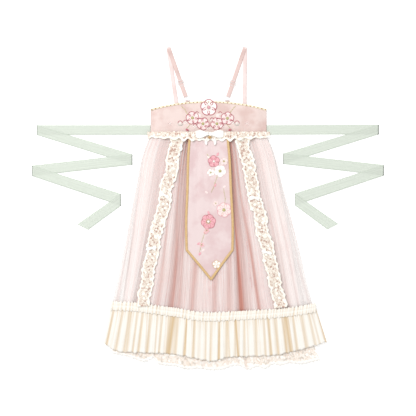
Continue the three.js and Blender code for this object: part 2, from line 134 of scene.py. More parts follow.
def gridNormals(points):
    across = np.gradient(points, axis=0)
    down = np.gradient(points, axis=1)
    normal = np.cross(down, across)
    return normal / np.maximum(np.linalg.norm(normal, axis=2, keepdims=True), 1e-9)


def makeMesh(name, vertices, faces, look, uv=None, values=None):
    mesh = bpy.data.meshes.new(name)
    mesh.from_pydata((np.asarray(vertices) * millimetre).tolist(), [], faces)
    mesh.polygons.foreach_set("use_smooth", [True] * len(mesh.polygons))
    if uv is not None:
        layer = mesh.uv_layers.new(name="cloth")
        corners = np.zeros(len(mesh.loops), int)
        mesh.loops.foreach_get("vertex_index", corners)
        layer.data.foreach_set("uv", (uv[corners] * millimetre).astype(np.float32).ravel())
    for key, numbers in (values or {}).items():
        attribute = mesh.attributes.new(key, "FLOAT", "POINT")
        attribute.data.foreach_set("value", np.asarray(numbers, np.float32))
    mesh.materials.append(look)
    piece = bpy.data.objects.new(name, mesh)
    bpy.context.scene.collection.objects.link(piece)
    return piece


def clothWall(name, points, wall, look, values=None, laid=True):
    # a thin shell under a grid of points; u grows across and v down the cloth
    countU, countV = points.shape[:2]
    lower = points - gridNormals(points) * wall
    vertices = np.concatenate([points.reshape(-1, 3), lower.reshape(-1, 3)])
    layer = countU * countV
    index = np.arange(layer).reshape(countU, countV)
    near, side, far, across = index[:-1, :-1], index[1:, :-1], index[:-1, 1:], index[1:, 1:]
    quads = [np.stack([near, far, across, side], -1).reshape(-1, 4)]
    quads.append(np.stack([near, side, across, far], -1).reshape(-1, 4) + layer)
    for edge in (index[:, 0], index[-1, :], index[::-1, -1], index[0, ::-1]):
        quads.append(np.stack([edge[:-1], edge[1:], edge[1:] + layer, edge[:-1] + layer], -1))
    acrossLength = np.linalg.norm(np.diff(points, axis=0), axis=2)
    downLength = np.linalg.norm(np.diff(points, axis=1), axis=2)
    u = np.concatenate([np.zeros((1, countV)), np.cumsum(acrossLength, axis=0)])
    v = np.concatenate([np.zeros((countU, 1)), np.cumsum(downLength, axis=1)], axis=1)
    flat = (u[-1].mean(), v[:, -1].mean())
    u = np.broadcast_to(u.mean(axis=1, keepdims=True), u.shape)
    v = np.broadcast_to(v.mean(axis=0, keepdims=True), v.shape)
    uv = np.stack([u, v], -1).reshape(-1, 2)
    doubled = {key: np.tile(numbers.reshape(-1), 2) for key, numbers in (values or {}).items()}
    piece = makeMesh(name, vertices, np.concatenate(quads).tolist(), look, np.tile(uv, (2, 1)), doubled)
    piece["flatWidth"], piece["flatLength"] = float(flat[0]), float(flat[1])
    if laid:
        lay(points)
    return piece


def sheetOf(piece, replaced):
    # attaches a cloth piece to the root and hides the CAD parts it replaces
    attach(piece, "root")
    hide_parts(*replaced)
    return piece


def ride(piece, replaced):
    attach(piece, "root")
    if replaced:
        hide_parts(*replaced)
    return piece


# Looks

def tint(red, green, blue):
    # a colour given as it shows on a screen
    def linear(value):
        share = value / 255
        return share / 12.92 if share <= 0.04045 else ((share + 0.055) / 1.055) ** 2.4
    return (linear(red), linear(green), linear(blue), 1)


class Wire:
    # a socket that can be used in sums
    def __init__(self, look, socket):
        self.look = look
        self.socket = socket

    def calc(self, operation, *inputs):
        return self.look.node("ShaderNodeMath", {"operation": operation}, dict(enumerate(inputs)))

    def __add__(self, other):
        return self.calc("ADD", self, other)

    def __radd__(self, other):
        return self.calc("ADD", other, self)

    def __sub__(self, other):
        return self.calc("SUBTRACT", self, other)

    def __rsub__(self, other):
        return self.calc("SUBTRACT", other, self)

    def __mul__(self, other):
        return self.calc("MULTIPLY", self, other)

    def __rmul__(self, other):
        return self.calc("MULTIPLY", other, self)

    def __truediv__(self, other):
        return self.calc("DIVIDE", self, other)

    def sine(self):
        return self.calc("SINE", self)

    def least(self, other):
        return self.calc("MINIMUM", self, other)

    def most(self, other):
        return self.calc("MAXIMUM", self, other)

    def held(self):
        return self.most(0).least(1)

    def step(self, low, high):
        # 0 below low, 1 above high, smooth between
        return self.look.node("ShaderNodeMapRange", {"interpolation_type": "SMOOTHSTEP"},
                              {0: self, 1: low, 2: high, 3: 0, 4: 1})


class Look:
    def __init__(self, name, **constants):
        self.material = bpy.data.materials.new(name)
        self.material.use_nodes = True
        self.nodes = self.material.node_tree.nodes
        self.links = self.material.node_tree.links
        self.shader = self.nodes["Principled BSDF"]
        for key, value in constants.items():
            self.shader.inputs[key.replace("_", " ")].default_value = value

    def put(self, socket, value):
        if isinstance(value, Wire):
            self.links.new(value.socket, socket)
        else:
            socket.default_value = value

    def node(self, kind, settings=None, inputs=None, out=0):
        made = self.nodes.new(kind)
        for key, value in (settings or {}).items():
            setattr(made, key, value)
        for key, value in (inputs or {}).items():
            self.put(made.inputs[key], value)
        return Wire(self, made.outputs[out])

    def place(self):
        return self.node("ShaderNodeTexCoord", out="Object")

    def clothPlace(self, scaleU=1.0, scaleV=1.0):
        # the cloth's own coordinates in metres, stretched across and down
        place = self.node("ShaderNodeUVMap", {"uv_map": "cloth"})
        return self.vector("MULTIPLY", place, (scaleU, scaleV, 1))

    def vector(self, operation, first, second):
        return self.node("ShaderNodeVectorMath", {"operation": operation}, {0: first, 1: second})

    def split(self, vector):
        parts = self.node("ShaderNodeSeparateXYZ", None, {0: vector})
        owner = parts.socket.node
        return [Wire(self, owner.outputs[number]) for number in range(3)]

    def value(self, name):
        return self.node("ShaderNodeAttribute", {"attribute_name": name}, out="Fac")

    def noise(self, vector, scale, detail=2.0, rough=0.5):
        return self.node("ShaderNodeTexNoise", {"noise_dimensions": "3D"},
                         {"Vector": vector, "Scale": scale, "Detail": detail, "Roughness": rough})

    def cells(self, vector, scale, feature="F1"):
        inputs = {"Vector": vector, "Scale": scale}
        return self.node("ShaderNodeTexVoronoi", {"feature": feature}, inputs)

    def blend(self, share, first, second):
        return self.node("ShaderNodeMix", {"data_type": "RGBA"}, {0: share, 6: first, 7: second}, out=2)

    def colour(self, value):
        self.put(self.shader.inputs["Base Color"], value)

    def alpha(self, value):
        self.put(self.shader.inputs["Alpha"], value)

    def rough(self, value):
        self.put(self.shader.inputs["Roughness"], value)

    def bump(self, height, distance, strength=1.0):
        inputs = {"Height": height, "Distance": distance, "Strength": strength}
        made = self.node("ShaderNodeBump", None, inputs)
        self.put(self.shader.inputs["Normal"], made)


def weave(look, threads, stretch=1.0):
    # crossed threads, `threads` to the metre
    u, v, _ = look.split(look.clothPlace(threads * 2 * math.pi, threads * 2 * math.pi * stretch))
    return (u.sine() * v.sine()) * 0.5 + 0.5


dyeAndFoldShadeColours = {
    "pale": tint(252, 236, 231),
    "blush": tint(243, 208, 203),
    "rose": tint(222, 140, 138),
    # the fold colour is painted shade for the troughs of the folds
    "fold": tint(182, 98, 82),
    "mauve": tint(216, 182, 180),
}


def dyedLook(name, pinkness, seed):
    # tie-dyed voile: cloudy pale, blush and rose patches that run with the folds, with painted shade
    # darkening the fold troughs
    look = Look(name, Sheen_Weight=0.25, Sheen_Roughness=0.5, Specular_IOR_Level=0.2)
    place = look.vector("ADD", look.place(), (seed, seed * 0.7, 0))
    stretched = look.vector("MULTIPLY", place, (1.0, 0.55, 1.0))
    clouds = look.noise(stretched, 13, 3.0, 0.55)
    patches = look.noise(stretched, 34, 4.0, 0.6)
    streaks = look.noise(look.clothPlace(230, 6), 1.0, 2.0, 0.5)
    _, y, _ = look.split(look.place())
    lowness = (0.19 - y) / 0.5
    fold = look.value("fold")
    blush = clouds.step(0.40, 0.62) * 0.7 + patches.step(0.45, 0.7) * 0.5 + lowness * 0.25
    blush = (blush + pinkness).held()
    rose = (patches.step(0.5, 0.66) * clouds.step(0.4, 0.56) * (lowness * 0.9 + 0.25)).held()
    base = look.blend(blush, dyeAndFoldShadeColours["pale"], dyeAndFoldShadeColours["blush"])
    base = look.blend(rose, base, dyeAndFoldShadeColours["rose"])
    # fine streaks along the cloth: partly the dye's mauve, partly painted shade standing in for the ridges
    # of the fine gathers
    base = look.blend(streaks.step(0.42, 0.66) * 0.5, base, dyeAndFoldShadeColours["mauve"])
    # painted shade: the fold attribute darkens the colour in the fold troughs
    base = look.blend(fold, base, dyeAndFoldShadeColours["fold"])
    # the skirt fades towards its sides
    sideFade = look.value("side") * (0.45 + lowness * 0.4).held()
    look.colour(look.blend(sideFade, base, tint(255, 248, 246)))
    look.rough(0.85)
    look.bump(weave(look, 900), 0.0001, 0.4)
    return look.material


def sheerLook(name, colour, foldColour, body, foldBody, netThreads=700, streakShare=0.3):
    # sheer cloth: denser where its folds stand close together, and darkened there with painted shade
    look = Look(name, Sheen_Weight=0.2, Sheen_Roughness=0.4, Specular_IOR_Level=0.15)
    fold = look.value("fold")
    streaks = look.noise(look.clothPlace(420, 5), 1.0, 3.0, 0.6).step(0.35, 0.7)
    # the fold colour is painted shade in the folds
    look.colour(look.blend(fold, colour, foldColour))
    look.alpha((body + streaks * streakShare + fold * (foldBody - body)).held())
    look.rough(0.9)
    look.bump(weave(look, netThreads), 0.0001, 0.4)
    return look.material


def creamLook(name, body, foldBody):
    look = Look(name, Sheen_Weight=0.25, Sheen_Roughness=0.5, Specular_IOR_Level=0.2)
    fold = look.value("fold")
    streaks = look.noise(look.clothPlace(380, 8), 1.0, 2.0, 0.5).step(0.4, 0.75)
    base = look.blend(streaks * 0.5, tint(255, 252, 246), tint(245, 235, 220))
    # painted shade: fold darkens the voile to tan in the pleat hollows
    look.colour(look.blend(fold, base, tint(206, 172, 118)))
    look.alpha((body + streaks * 0.1 + fold * (foldBody - body)).held())
    look.rough(0.85)
    look.bump(weave(look, 800), 0.0001, 0.4)
    return look.material


def laceLook(name, motif, edgeColour, spotColour, groundBody=0.62):
    # lace: a soft net ground, solid leaves, small open spots and a closed edge along `edge`
    look = Look(name, Sheen_Weight=0.2, Specular_IOR_Level=0.2)
    place = look.clothPlace()
    moved = look.vector("ADD", place, (0.31, 0.17, 0))
    leaf = 1 - look.cells(place, motif, "F1").step(0.30, 0.46)
    veins = 1 - look.cells(place, motif, "DISTANCE_TO_EDGE").step(0.04, 0.12)
    spots = 1 - look.cells(moved, motif * 1.25, "F1").step(0.24, 0.42)
    edge = look.value("edge").step(0.1, 0.4)
    solid = leaf.most(veins * 0.6).most(edge)
    gaps = (spots * (1 - edge) * (1 - leaf * 0.5)).held()
    fold = look.value("fold")
    look.alpha((groundBody + solid * (1 - groundBody) - gaps * 0.15).held())
    thread = look.blend(solid, tint(250, 236, 222), edgeColour)
    # the open spots are painted the colour of the cloth beneath as seen in shade: partly its own colour,
    # partly painted shade
    thread = look.blend(gaps * 0.65, thread, spotColour)
    # painted shade: fold darkens the lace in the hollows of its gathers
    look.colour(look.blend(fold * 0.7, thread, tint(206, 160, 138)))
    look.rough(0.85)
    look.bump(solid * 0.8, 0.0006, 0.6)
    return look.material


def satinLook(name, colour, shade, sheen=0.3, roughness=0.45):
    look = Look(name, Sheen_Weight=sheen, Sheen_Roughness=0.35, Specular_IOR_Level=0.35)
    clouds = look.noise(look.place(), 22, 3.0, 0.55).step(0.42, 0.66)
    look.colour(look.blend(clouds, colour, shade))
    look.rough(roughness)
    look.bump(weave(look, 1100, 0.25), 0.0001, 0.4)
    return look.material


def threadLook(name, colour, shade, scale=900, roughness=0.5):
    # embroidery thread: short bright and dark strands
    look = Look(name, Sheen_Weight=0.4, Sheen_Roughness=0.3, Specular_IOR_Level=0.3)
    strands = look.noise(look.place(), scale, 2.0, 0.6)
    look.colour(look.blend(strands.step(0.35, 0.7), colour, shade))
    look.rough(roughness)
    look.bump(strands, 0.0003, 0.6)
    return look.material


def plasticLook(name, colour, clear):
    look = Look(name, Specular_IOR_Level=0.5, Coat_Roughness=0.05)
    cloud = look.noise(look.place(), 300, 1.0, 0.5)
    look.colour(look.blend(cloud, colour, tint(255, 255, 255)))
    look.rough(0.12 + cloud * 0.1)
    look.alpha(clear)
    return look.material


def pearlLook(name, colour, shade):
    look = Look(name, Coat_Weight=0.6, Coat_Roughness=0.1, Specular_IOR_Level=0.6)
    cloud = look.noise(look.place(), 260, 2.0, 0.5)
    look.colour(look.blend(cloud, colour, shade))
    look.rough(0.25 + cloud * 0.1)
    return look.material


looks = {
    "print": dyedLook("dyedVoile", 0.1, 0.0),
    "printBack": dyedLook("dyedVoileBack", 0.1, 1.3),
    "tulle": sheerLook("tulle", tint(255, 251, 249), tint(214, 152, 138), 0.2, 0.5, 700, 0.34),
    "cream": creamLook("creamVoile", 0.88, 0.97),
    "heading": creamLook("creamFrill", 0.9, 0.97),
    "lace": laceLook("gatheredLace", 105, tint(255, 254, 244), tint(196, 138, 120), 0.6),
    "flounce": laceLook("hemLace", 90, tint(254, 251, 246), tint(232, 224, 214), 0.85),
    "satin": satinLook("blushSatin", tint(229, 209, 203), tint(216, 188, 181)),
    "panel": satinLook("panelVoile", tint(228, 209, 208), tint(219, 193, 193), 0.2, 0.7),
    "gold": threadLook("goldBias", tint(222, 192, 142), tint(200, 160, 104), 700, 0.45),
    "braid": threadLook("creamBraid", tint(252, 244, 222), tint(240, 224, 190), 800, 0.5),
    "brown": threadLook("brownThread", tint(190, 150, 95), tint(165, 125, 75), 900, 0.5),
    "white": satinLook("whiteSatin", tint(255, 254, 251), tint(247, 244, 240), 0.3, 0.4),
    "rose": threadLook("roseThread", tint(198, 122, 130), tint(180, 100, 112), 900, 0.5),
    "pink": threadLook("pinkThread", tint(238, 182, 188), tint(226, 158, 168), 700, 0.5),
    "petal": threadLook("petalThread", tint(248, 232, 228), tint(238, 212, 210), 700, 0.5),
    "whiteThread": threadLook("whiteThread", tint(255, 253, 250), tint(244, 236, 230), 800, 0.5),
    "leaf": threadLook("leafThread", tint(205, 200, 140), tint(180, 170, 105), 900, 0.5),
    "grey": threadLook("greyThread", tint(205, 208, 200), tint(180, 184, 176), 900, 0.5),
    "strapBack": satinLook("strapInside", tint(236, 218, 215), tint(228, 206, 202), 0.2, 0.55),
    "strap": satinLook("strapWebbing", tint(222, 196, 190), tint(208, 180, 174), 0.3, 0.5),
    "plastic": plasticLook("clearPlastic", tint(238, 226, 222), 0.75),
    "ring": plasticLook("ringPlastic", tint(240, 240, 242), 0.55),
    "ribbon": sheerLook("mintOrganza", tint(223, 230, 219), tint(214, 224, 210), 0.62, 0.85, 900, 0.14),
    "pearl": pearlLook("pearl", tint(255, 250, 244), tint(240, 228, 222)),
    "bead": pearlLook("goldBead", tint(206, 168, 112), tint(176, 136, 84)),
}
print("looks:", len(looks))

# Skirts, from the underside up

skirt = {
    "waistY": nodeBox("tulle_skirt_front")[1][1],
    "foldRise": 6.0,
    "level": 2.6,                 # where the front's underskirt starts over the back
    "sides": [
        {"y": 192, "left": -146, "right": 149, "fullness": 0.5},
        {"y": 155, "left": -162, "right": 165, "fullness": 0.75},
        {"y": 45, "left": -187, "right": 195, "fullness": 1.0},
        {"y": -108, "left": -217, "right": 235, "fullness": 1.0},
        {"y": -200, "left": -237, "right": 257, "fullness": 1.1},
        {"y": -300, "left": -262, "right": 284, "fullness": 1.2},
    ],
    # fold lines from waist to hem, as shares of the half width; dark is how much painted shade darkens a
    # trough's colour
    "folds": [
        {"waist": -1.00, "hem": -1.00, "rise": 0.0, "dark": 0.0},
        {"waist": -0.985, "hem": -0.88, "rise": 0.25, "dark": 0.1},
        {"waist": -0.85, "hem": -0.82, "rise": 0.85, "dark": 0.0},
        {"waist": -0.70, "hem": -0.76, "rise": 0.1, "dark": 0.55},
        {"waist": -0.58, "hem": -0.69, "rise": 0.9, "dark": 0.15},
        {"waist": -0.44, "hem": -0.55, "rise": 1.0, "dark": 0.1},
        {"waist": -0.33, "hem": -0.385, "rise": 0.05, "dark": 0.7},
        {"waist": -0.26, "hem": -0.26, "rise": 0.85, "dark": 0.2},
        {"waist": 0.02, "hem": 0.01, "rise": 0.7, "dark": 0.05},
        {"waist": 0.28, "hem": 0.21, "rise": 0.85, "dark": 0.2},
        {"waist": 0.35, "hem": 0.28, "rise": 0.05, "dark": 0.95},
        {"waist": 0.46, "hem": 0.45, "rise": 1.0, "dark": 0.05},
        {"waist": 0.62, "hem": 0.66, "rise": 0.9, "dark": 0.1},
        {"waist": 0.74, "hem": 0.74, "rise": 0.1, "dark": 0.5},
        {"waist": 0.86, "hem": 0.82, "rise": 0.85, "dark": 0.0},
        {"waist": 0.985, "hem": 0.88, "rise": 0.25, "dark": 0.05},
        {"waist": 1.00, "hem": 1.00, "rise": 0.0, "dark": 0.0},
    ],
}

hemLines = [
    {"across": -1.00, "seamX": -250, "seamY": -251, "ruffleX": -268, "ruffleY": -348},
    {"across": -0.88, "seamX": -218, "seamY": -252, "ruffleX": -236, "ruffleY": -368},
    {"across": -0.75, "seamX": -183, "seamY": -254, "ruffleX": -196, "ruffleY": -372},
    {"across": -0.62, "seamX": -150, "seamY": -259, "ruffleX": -158, "ruffleY": -373},
    {"across": -0.35, "seamX": -80, "seamY": -268, "ruffleX": -86, "ruffleY": -377},
    {"across": -0.12, "seamX": -22, "seamY": -278, "ruffleX": -22, "ruffleY": -389},
    {"across": 0.03, "seamX": 15, "seamY": -279, "ruffleX": 16, "ruffleY": -394},
    {"across": 0.12, "seamX": 40, "seamY": -278, "ruffleX": 42, "ruffleY": -386},
    {"across": 0.31, "seamX": 95, "seamY": -275, "ruffleX": 100, "ruffleY": -382},
    {"across": 0.57, "seamX": 163, "seamY": -271, "ruffleX": 176, "ruffleY": -378},
    {"across": 0.77, "seamX": 215, "seamY": -266, "ruffleX": 232, "ruffleY": -366},
    {"across": 1.00, "seamX": 277, "seamY": -256, "ruffleX": 306, "ruffleY": -345},
]

flounceHem = [
    {"x": -248, "y": -374}, {"x": -215, "y": -380}, {"x": -186, "y": -389}, {"x": -168, "y": -395},
    {"x": -152, "y": -392}, {"x": -141, "y": -385}, {"x": -131, "y": -398}, {"x": -108, "y": -405},
    {"x": -82, "y": -407}, {"x": -60, "y": -414}, {"x": -20, "y": -413}, {"x": 8, "y": -417},
    {"x": 45, "y": -413}, {"x": 66, "y": -405}, {"x": 84, "y": -407}, {"x": 104, "y": -416},
    {"x": 126, "y": -408}, {"x": 148, "y": -413}, {"x": 168, "y": -402}, {"x": 184, "y": -405},
    {"x": 212, "y": -399}, {"x": 240, "y": -402}, {"x": 265, "y": -397}, {"x": 289, "y": -391},
]


def skirtGrid(countAcross, countDown, firstFold, lastFold, reach):
    # fold coordinate, share of the way down, places and fold values for a skirt's grid
    folds = skirt["folds"]
    fold = np.linspace(firstFold, lastFold, countAcross)[:, None]
    down = np.linspace(0, reach, countDown)[None, :]
    index = np.clip(fold.astype(int), 0, len(folds) - 2)
    share = fold - index

    def column(name, step):
        return np.array([row[name] for row in folds])[index + step]

    level = np.minimum(down, 1)
    near = mix(column("waist", 0), column("hem", 0), level)
    far = mix(column("waist", 1), column("hem", 1), level)
    place = mix(near, far, share)
    rise = mix(column("rise", 0), column("rise", 1), smooth(share))
    dark = mix(column("dark", 0), column("dark", 1), smooth(share))
    seamY = readTable(hemLines, "across", "seamY", place)
    y = mix(skirt["waistY"], seamY, down)
    left = readTable(skirt["sides"], "y", "left", y)
    right = readTable(skirt["sides"], "y", "right", y)
    x = mix(left, right, (place + 1) / 2)
    fullness = readTable(skirt["sides"], "y", "fullness", y)
    return {"fold": fold + 0 * down, "down": down + 0 * fold, "x": x, "y": y,
            "rise": rise * fullness * skirt["foldRise"], "dark": dark + 0 * down,
            "side": smooth((np.abs(place) - 0.52) / 0.34) + 0 * down}


def gathers(grid, seed, depth):
    # fine gathers, tight at the waist and wider towards the hem, between 0 and depth
    fold, down = grid["fold"], grid["down"]
    wander = 0.12 * np.sin(down * 4.0 + seed) * np.sin(fold * 1.3 + seed)
    tight = ripple(seed, fold + wander, 6, 0.55, 0.16)
    wide = ripple(seed + 1, fold + wander * 2, 6, 1.3, 0.4)
    blendDown = smooth(down * 1.6)
    wave = mix(tight, wide, blendDown)
    return (np.clip(wave, -1, 1) * 0.5 + 0.5) * depth


def makeBackLayers():
    sizes = {"columns": 150, "rows": 40, "wall": 0.3}
    last = len(skirt["folds"]) - 1
    grid = skirtGrid(sizes["columns"], sizes["rows"], 0, last, 1.0)
    height = 0.45 + gathers(grid, 31, 0.35)
    back = clothWall("tulleSkirtBack", stack(grid["x"], grid["y"], height), sizes["wall"], looks["tulle"],
                     {"fold": np.clip(gathers(grid, 31, 1.0) - 0.3, 0, 1)})
    sheetOf(back, ["tulle_skirt_back"])
    ruffle, folds = ruffleGrid(300, 12)
    height = 0.45 + 0.35 * folds
    points = stack(ruffle["x"], ruffle["y"], height)
    # its fold is painted shade between the standing pleats
    piece = clothWall("hemRuffleBack", points, sizes["wall"], looks["cream"], {"fold": (1 - folds) * 0.25})
    sheetOf(piece, ["hem_ruffle_back"])
    grid = skirtGrid(sizes["columns"], sizes["rows"], 1, last - 1, 1.1)
    height = 1.75 + gathers(grid, 37, 0.35)
    values = {"fold": np.clip(gathers(grid, 37, 0.4) - 0.2, 0, 1), "side": grid["side"]}
    points = stack(grid["x"], grid["y"], height)
    piece = clothWall("printedSkirtBack", points, sizes["wall"], looks["printBack"], values)
    sheetOf(piece, ["printed_skirt_back"])
    points, folds, edge = flounceGrid(260, 14, 41, 0.3)
    points[..., 2] += 1.7
    values = {"fold": 0 * folds, "edge": edge}
    piece = clothWall("laceFlounceBack", points, sizes["wall"], looks["flounce"], values)
    sheetOf(piece, ["lace_flounce_back"])


ruffleFolds = [
    {"seamX": -199, "hemX": -209, "width": 11, "depth": 0.35},
    {"seamX": -156, "hemX": -160, "width": 4, "depth": 0.45},
    {"seamX": -87, "hemX": -101, "width": 13, "depth": 1.0},
    {"seamX": -35, "hemX": -40, "width": 4, "depth": 0.6},
    {"seamX": 50, "hemX": 55, "width": 5, "depth": 0.55},
    {"seamX": 70, "hemX": 78, "width": 5, "depth": 1.0},
    {"seamX": 124, "hemX": 134, "width": 4, "depth": 0.35},
    {"seamX": 153, "hemX": 164, "width": 8, "depth": 0.6},
    {"seamX": 198, "hemX": 213, "width": 10, "depth": 0.95},
]


def ruffleGrid(countAcross, countDown):
    # the hem ruffle from seam to lower edge, with how high its pleats stand, 0 to 1
    across = np.linspace(-1, 1, countAcross)[:, None]
    down = np.linspace(0, 1, countDown)[None, :]
    seamX = readTable(hemLines, "across", "seamX", across)
    seamY = readTable(hemLines, "across", "seamY", across)
    ruffleX = readTable(hemLines, "across", "ruffleX", across)
    ruffleY = readTable(hemLines, "across", "ruffleY", across)
    x = mix(seamX, ruffleX, down)
    y = mix(seamY, ruffleY, down)
    pleats = ripple(5, seamX + 3 * down, 7, 26, 9) * 0.5 + 0.5
    fine = ripple(9, seamX, 5, 8, 4) * 0.5 + 0.5
    stand = np.clip(mix(fine * 0.4 + pleats * 0.4, pleats * 0.85 + fine * 0.15, smooth(down * 2)), 0, 1)
    for row in ruffleFolds:
        middle = mix(row["seamX"], row["hemX"], down)
        hollow = np.exp(-((x - middle) / (row["width"] * 0.55)) ** 2) * row["depth"]
        stand = stand * (1 - hollow)
    return {"x": x, "y": y, "across": across + 0 * down, "down": down + 0 * across}, stand


def flounceGrid(countAcross, countDown, seed, rise):
    across = np.linspace(0, 1, countAcross)[:, None]
    down = np.linspace(0, 1, countDown)[None, :]
    hemX = mix(flounceHem[0]["x"], flounceHem[-1]["x"], across)
    hemY = readTable(flounceHem, "x", "y", hemX)
    topX = mix(-226, 250, across)
    topY = -300 - 28 * np.sin(math.pi * across)
    waves = ripple(seed, hemX, 6, 30, 11) * 0.5 + 0.5
    scallop = np.abs(np.sin(hemX * math.pi / 9.5))
    x = mix(topX, hemX, down)
    y = mix(topY, hemY + 1.5 - 3.0 * scallop, down)
    height = waves * rise * mix(0.3, 1.0, down)
    edge = smooth((down - 0.9) / 0.06) + 0 * across
    return stack(x, y, height), (1 - waves) + 0 * down, edge


def makeFrontSkirts():
    sizes = {"printColumns": 300, "tulleColumns": 460, "rows": 56, "wall": 0.3, "gather": 1.6}
    last = len(skirt["folds"]) - 1
    grid = skirtGrid(sizes["printColumns"], sizes["rows"], 1, last - 1, 1.1)
    fine = gathers(grid, 3, sizes["gather"])
    height = skirt["level"] + 0.6 + grid["rise"] + fine
    # painted shade: fold darkens the print in the listed dark troughs and in the hollows of the gathers
    trough = 1 - fine / sizes["gather"]
    fold = np.clip(grid["dark"] * (0.75 + 0.5 * trough) + 0.22 * trough ** 2, 0, 1)
    points = stack(grid["x"], grid["y"], height)
    values = {"fold": fold, "side": grid["side"]}
    printed = clothWall("printedSkirtFront", points, sizes["wall"], looks["print"], values)
    sheetOf(printed, ["printed_skirt_front"])
    points, folds, edge = flounceGrid(520, 22, 43, 3.2)
    points[..., 2] += skirt["level"] + 2.0
    # the flounce's fold is painted shade in the hollows of its waves
    flounce = clothWall("laceFlounceFront", points, sizes["wall"], looks["flounce"],
                        {"fold": np.clip(folds - 0.5, 0, 1) * 0.5, "edge": edge})
    sheetOf(flounce, ["lace_flounce_front"])
    grid = skirtGrid(sizes["tulleColumns"], sizes["rows"], 0, last, 1.0)
    inside = smooth(np.minimum(grid["fold"], last - grid["fold"]))
    fine = gathers(grid, 7, sizes["gather"])
    over = skirt["level"] + 1.4 + sizes["gather"] + grid["rise"] + fine
    height = mix(1.9 + fine * 0.5, over, inside)
    # painted shade: fold darkens the tulle in the hollows of its gathers and the listed dark troughs, less
    # at the sides
    trough = 1 - fine / sizes["gather"]
    fold = np.clip(0.8 * trough ** 3 + grid["dark"] ** 2 * 0.75, 0, 1) * (1 - 0.75 * grid["side"])
    points = stack(grid["x"], grid["y"], height)
    tulle = clothWall("tulleSkirtFront", points, sizes["wall"], looks["tulle"], {"fold": fold})
    sheetOf(tulle, ["tulle_skirt_front"])


def makeHem():
    sizes = {"columns": 640, "rows": 30, "wall": 0.35, "pleatRise": 4.6}
    grid, stand = ruffleGrid(sizes["columns"], sizes["rows"])
    base = restingOn(grid["x"], grid["y"], 18)
    rim = ripple(15, grid["across"] * 260, 4, 30, 9) * 1.8 * smooth((grid["down"] - 0.85) / 0.15)
    height = base + stand * sizes["pleatRise"] * mix(0.25, 1.0, grid["down"])
    points = stack(grid["x"], grid["y"] + rim, height)
    # painted shade: fold darkens the ruffle to tan between the standing pleats
    fold = np.clip(0.92 - stand * 1.6, 0, 1) * 0.9
    ruffle = clothWall("hemRuffleFront", points, sizes["wall"], looks["cream"], {"fold": fold})
    sheetOf(ruffle, ["hem_ruffle_front"])

    heading = {"columns": 620, "rows": 16, "above": 11.0, "below": 12.0, "rise": 3.6}
    across = np.linspace(-1, 1, heading["columns"])[:, None]
    down = np.linspace(0, 1, heading["rows"])[None, :]
    x = readTable(hemLines, "across", "seamX", across) + 0 * down
    seamY = readTable(hemLines, "across", "seamY", across)
    crimp = ripple(21, x + 2.5 * down, 5, 12, 5.5)
    shift = ripple(22, x, 4, 14, 6)
    y = seamY + mix(heading["above"] + crimp * 2.4 + shift * 1.5, -heading["below"] - shift * 2.6, down)
    puff = np.sin(math.pi * np.clip(down, 0, 1)) * 0.55 + 0.45
    stitched = 1 - np.exp(-((down - 0.5) / 0.1) ** 2)
    height = restingOn(x, y, 4) + (crimp * 0.5 + 0.5) * heading["rise"] * puff * (0.25 + 0.75 * stitched)
    # painted shade in the hollows of the heading's crimps
    fold = np.clip(0.25 - crimp * 0.75, 0, 1) * 0.5 * (0.4 + 0.6 * stitched)
    piece = clothWall("hemHeading", stack(x, y, height), sizes["wall"], looks["heading"], {"fold": fold})
    sheetOf(piece, ["hem_heading"])


makeBackLayers()
makeFrontSkirts()
makeHem()
print("skirts and hem done")

# Strips, threads and repeats

def curveThrough(knots, count):
    # a smooth path through a few places, evenly spaced
    knots = np.array(knots, float)
    lengths = np.concatenate([[0], np.cumsum(np.linalg.norm(np.diff(knots, axis=0), axis=1))])
    rows = [{"at": at, "x": x, "y": y} for at, (x, y) in zip(lengths, knots)]
    along = np.linspace(0, lengths[-1], count)
    return np.stack([readTable(rows, "at", "x", along), readTable(rows, "at", "y", along)], -1)


def sideways(path):
    # the unit vector to the right of a path, looking along it
    forward = np.gradient(path, axis=0)
    forward = forward / np.maximum(np.linalg.norm(forward, axis=1, keepdims=True), 1e-9)
    return np.stack([forward[:, 1], -forward[:, 0]], -1)


def stripGrid(path, halfWidth, countAcross):
    across = np.linspace(-1, 1, countAcross)[:, None]
    side = sideways(path)
    x = path[None, :, 0] + side[None, :, 0] * across * halfWidth
    y = path[None, :, 1] + side[None, :, 1] * across * halfWidth
    return x, y, across + 0 * x


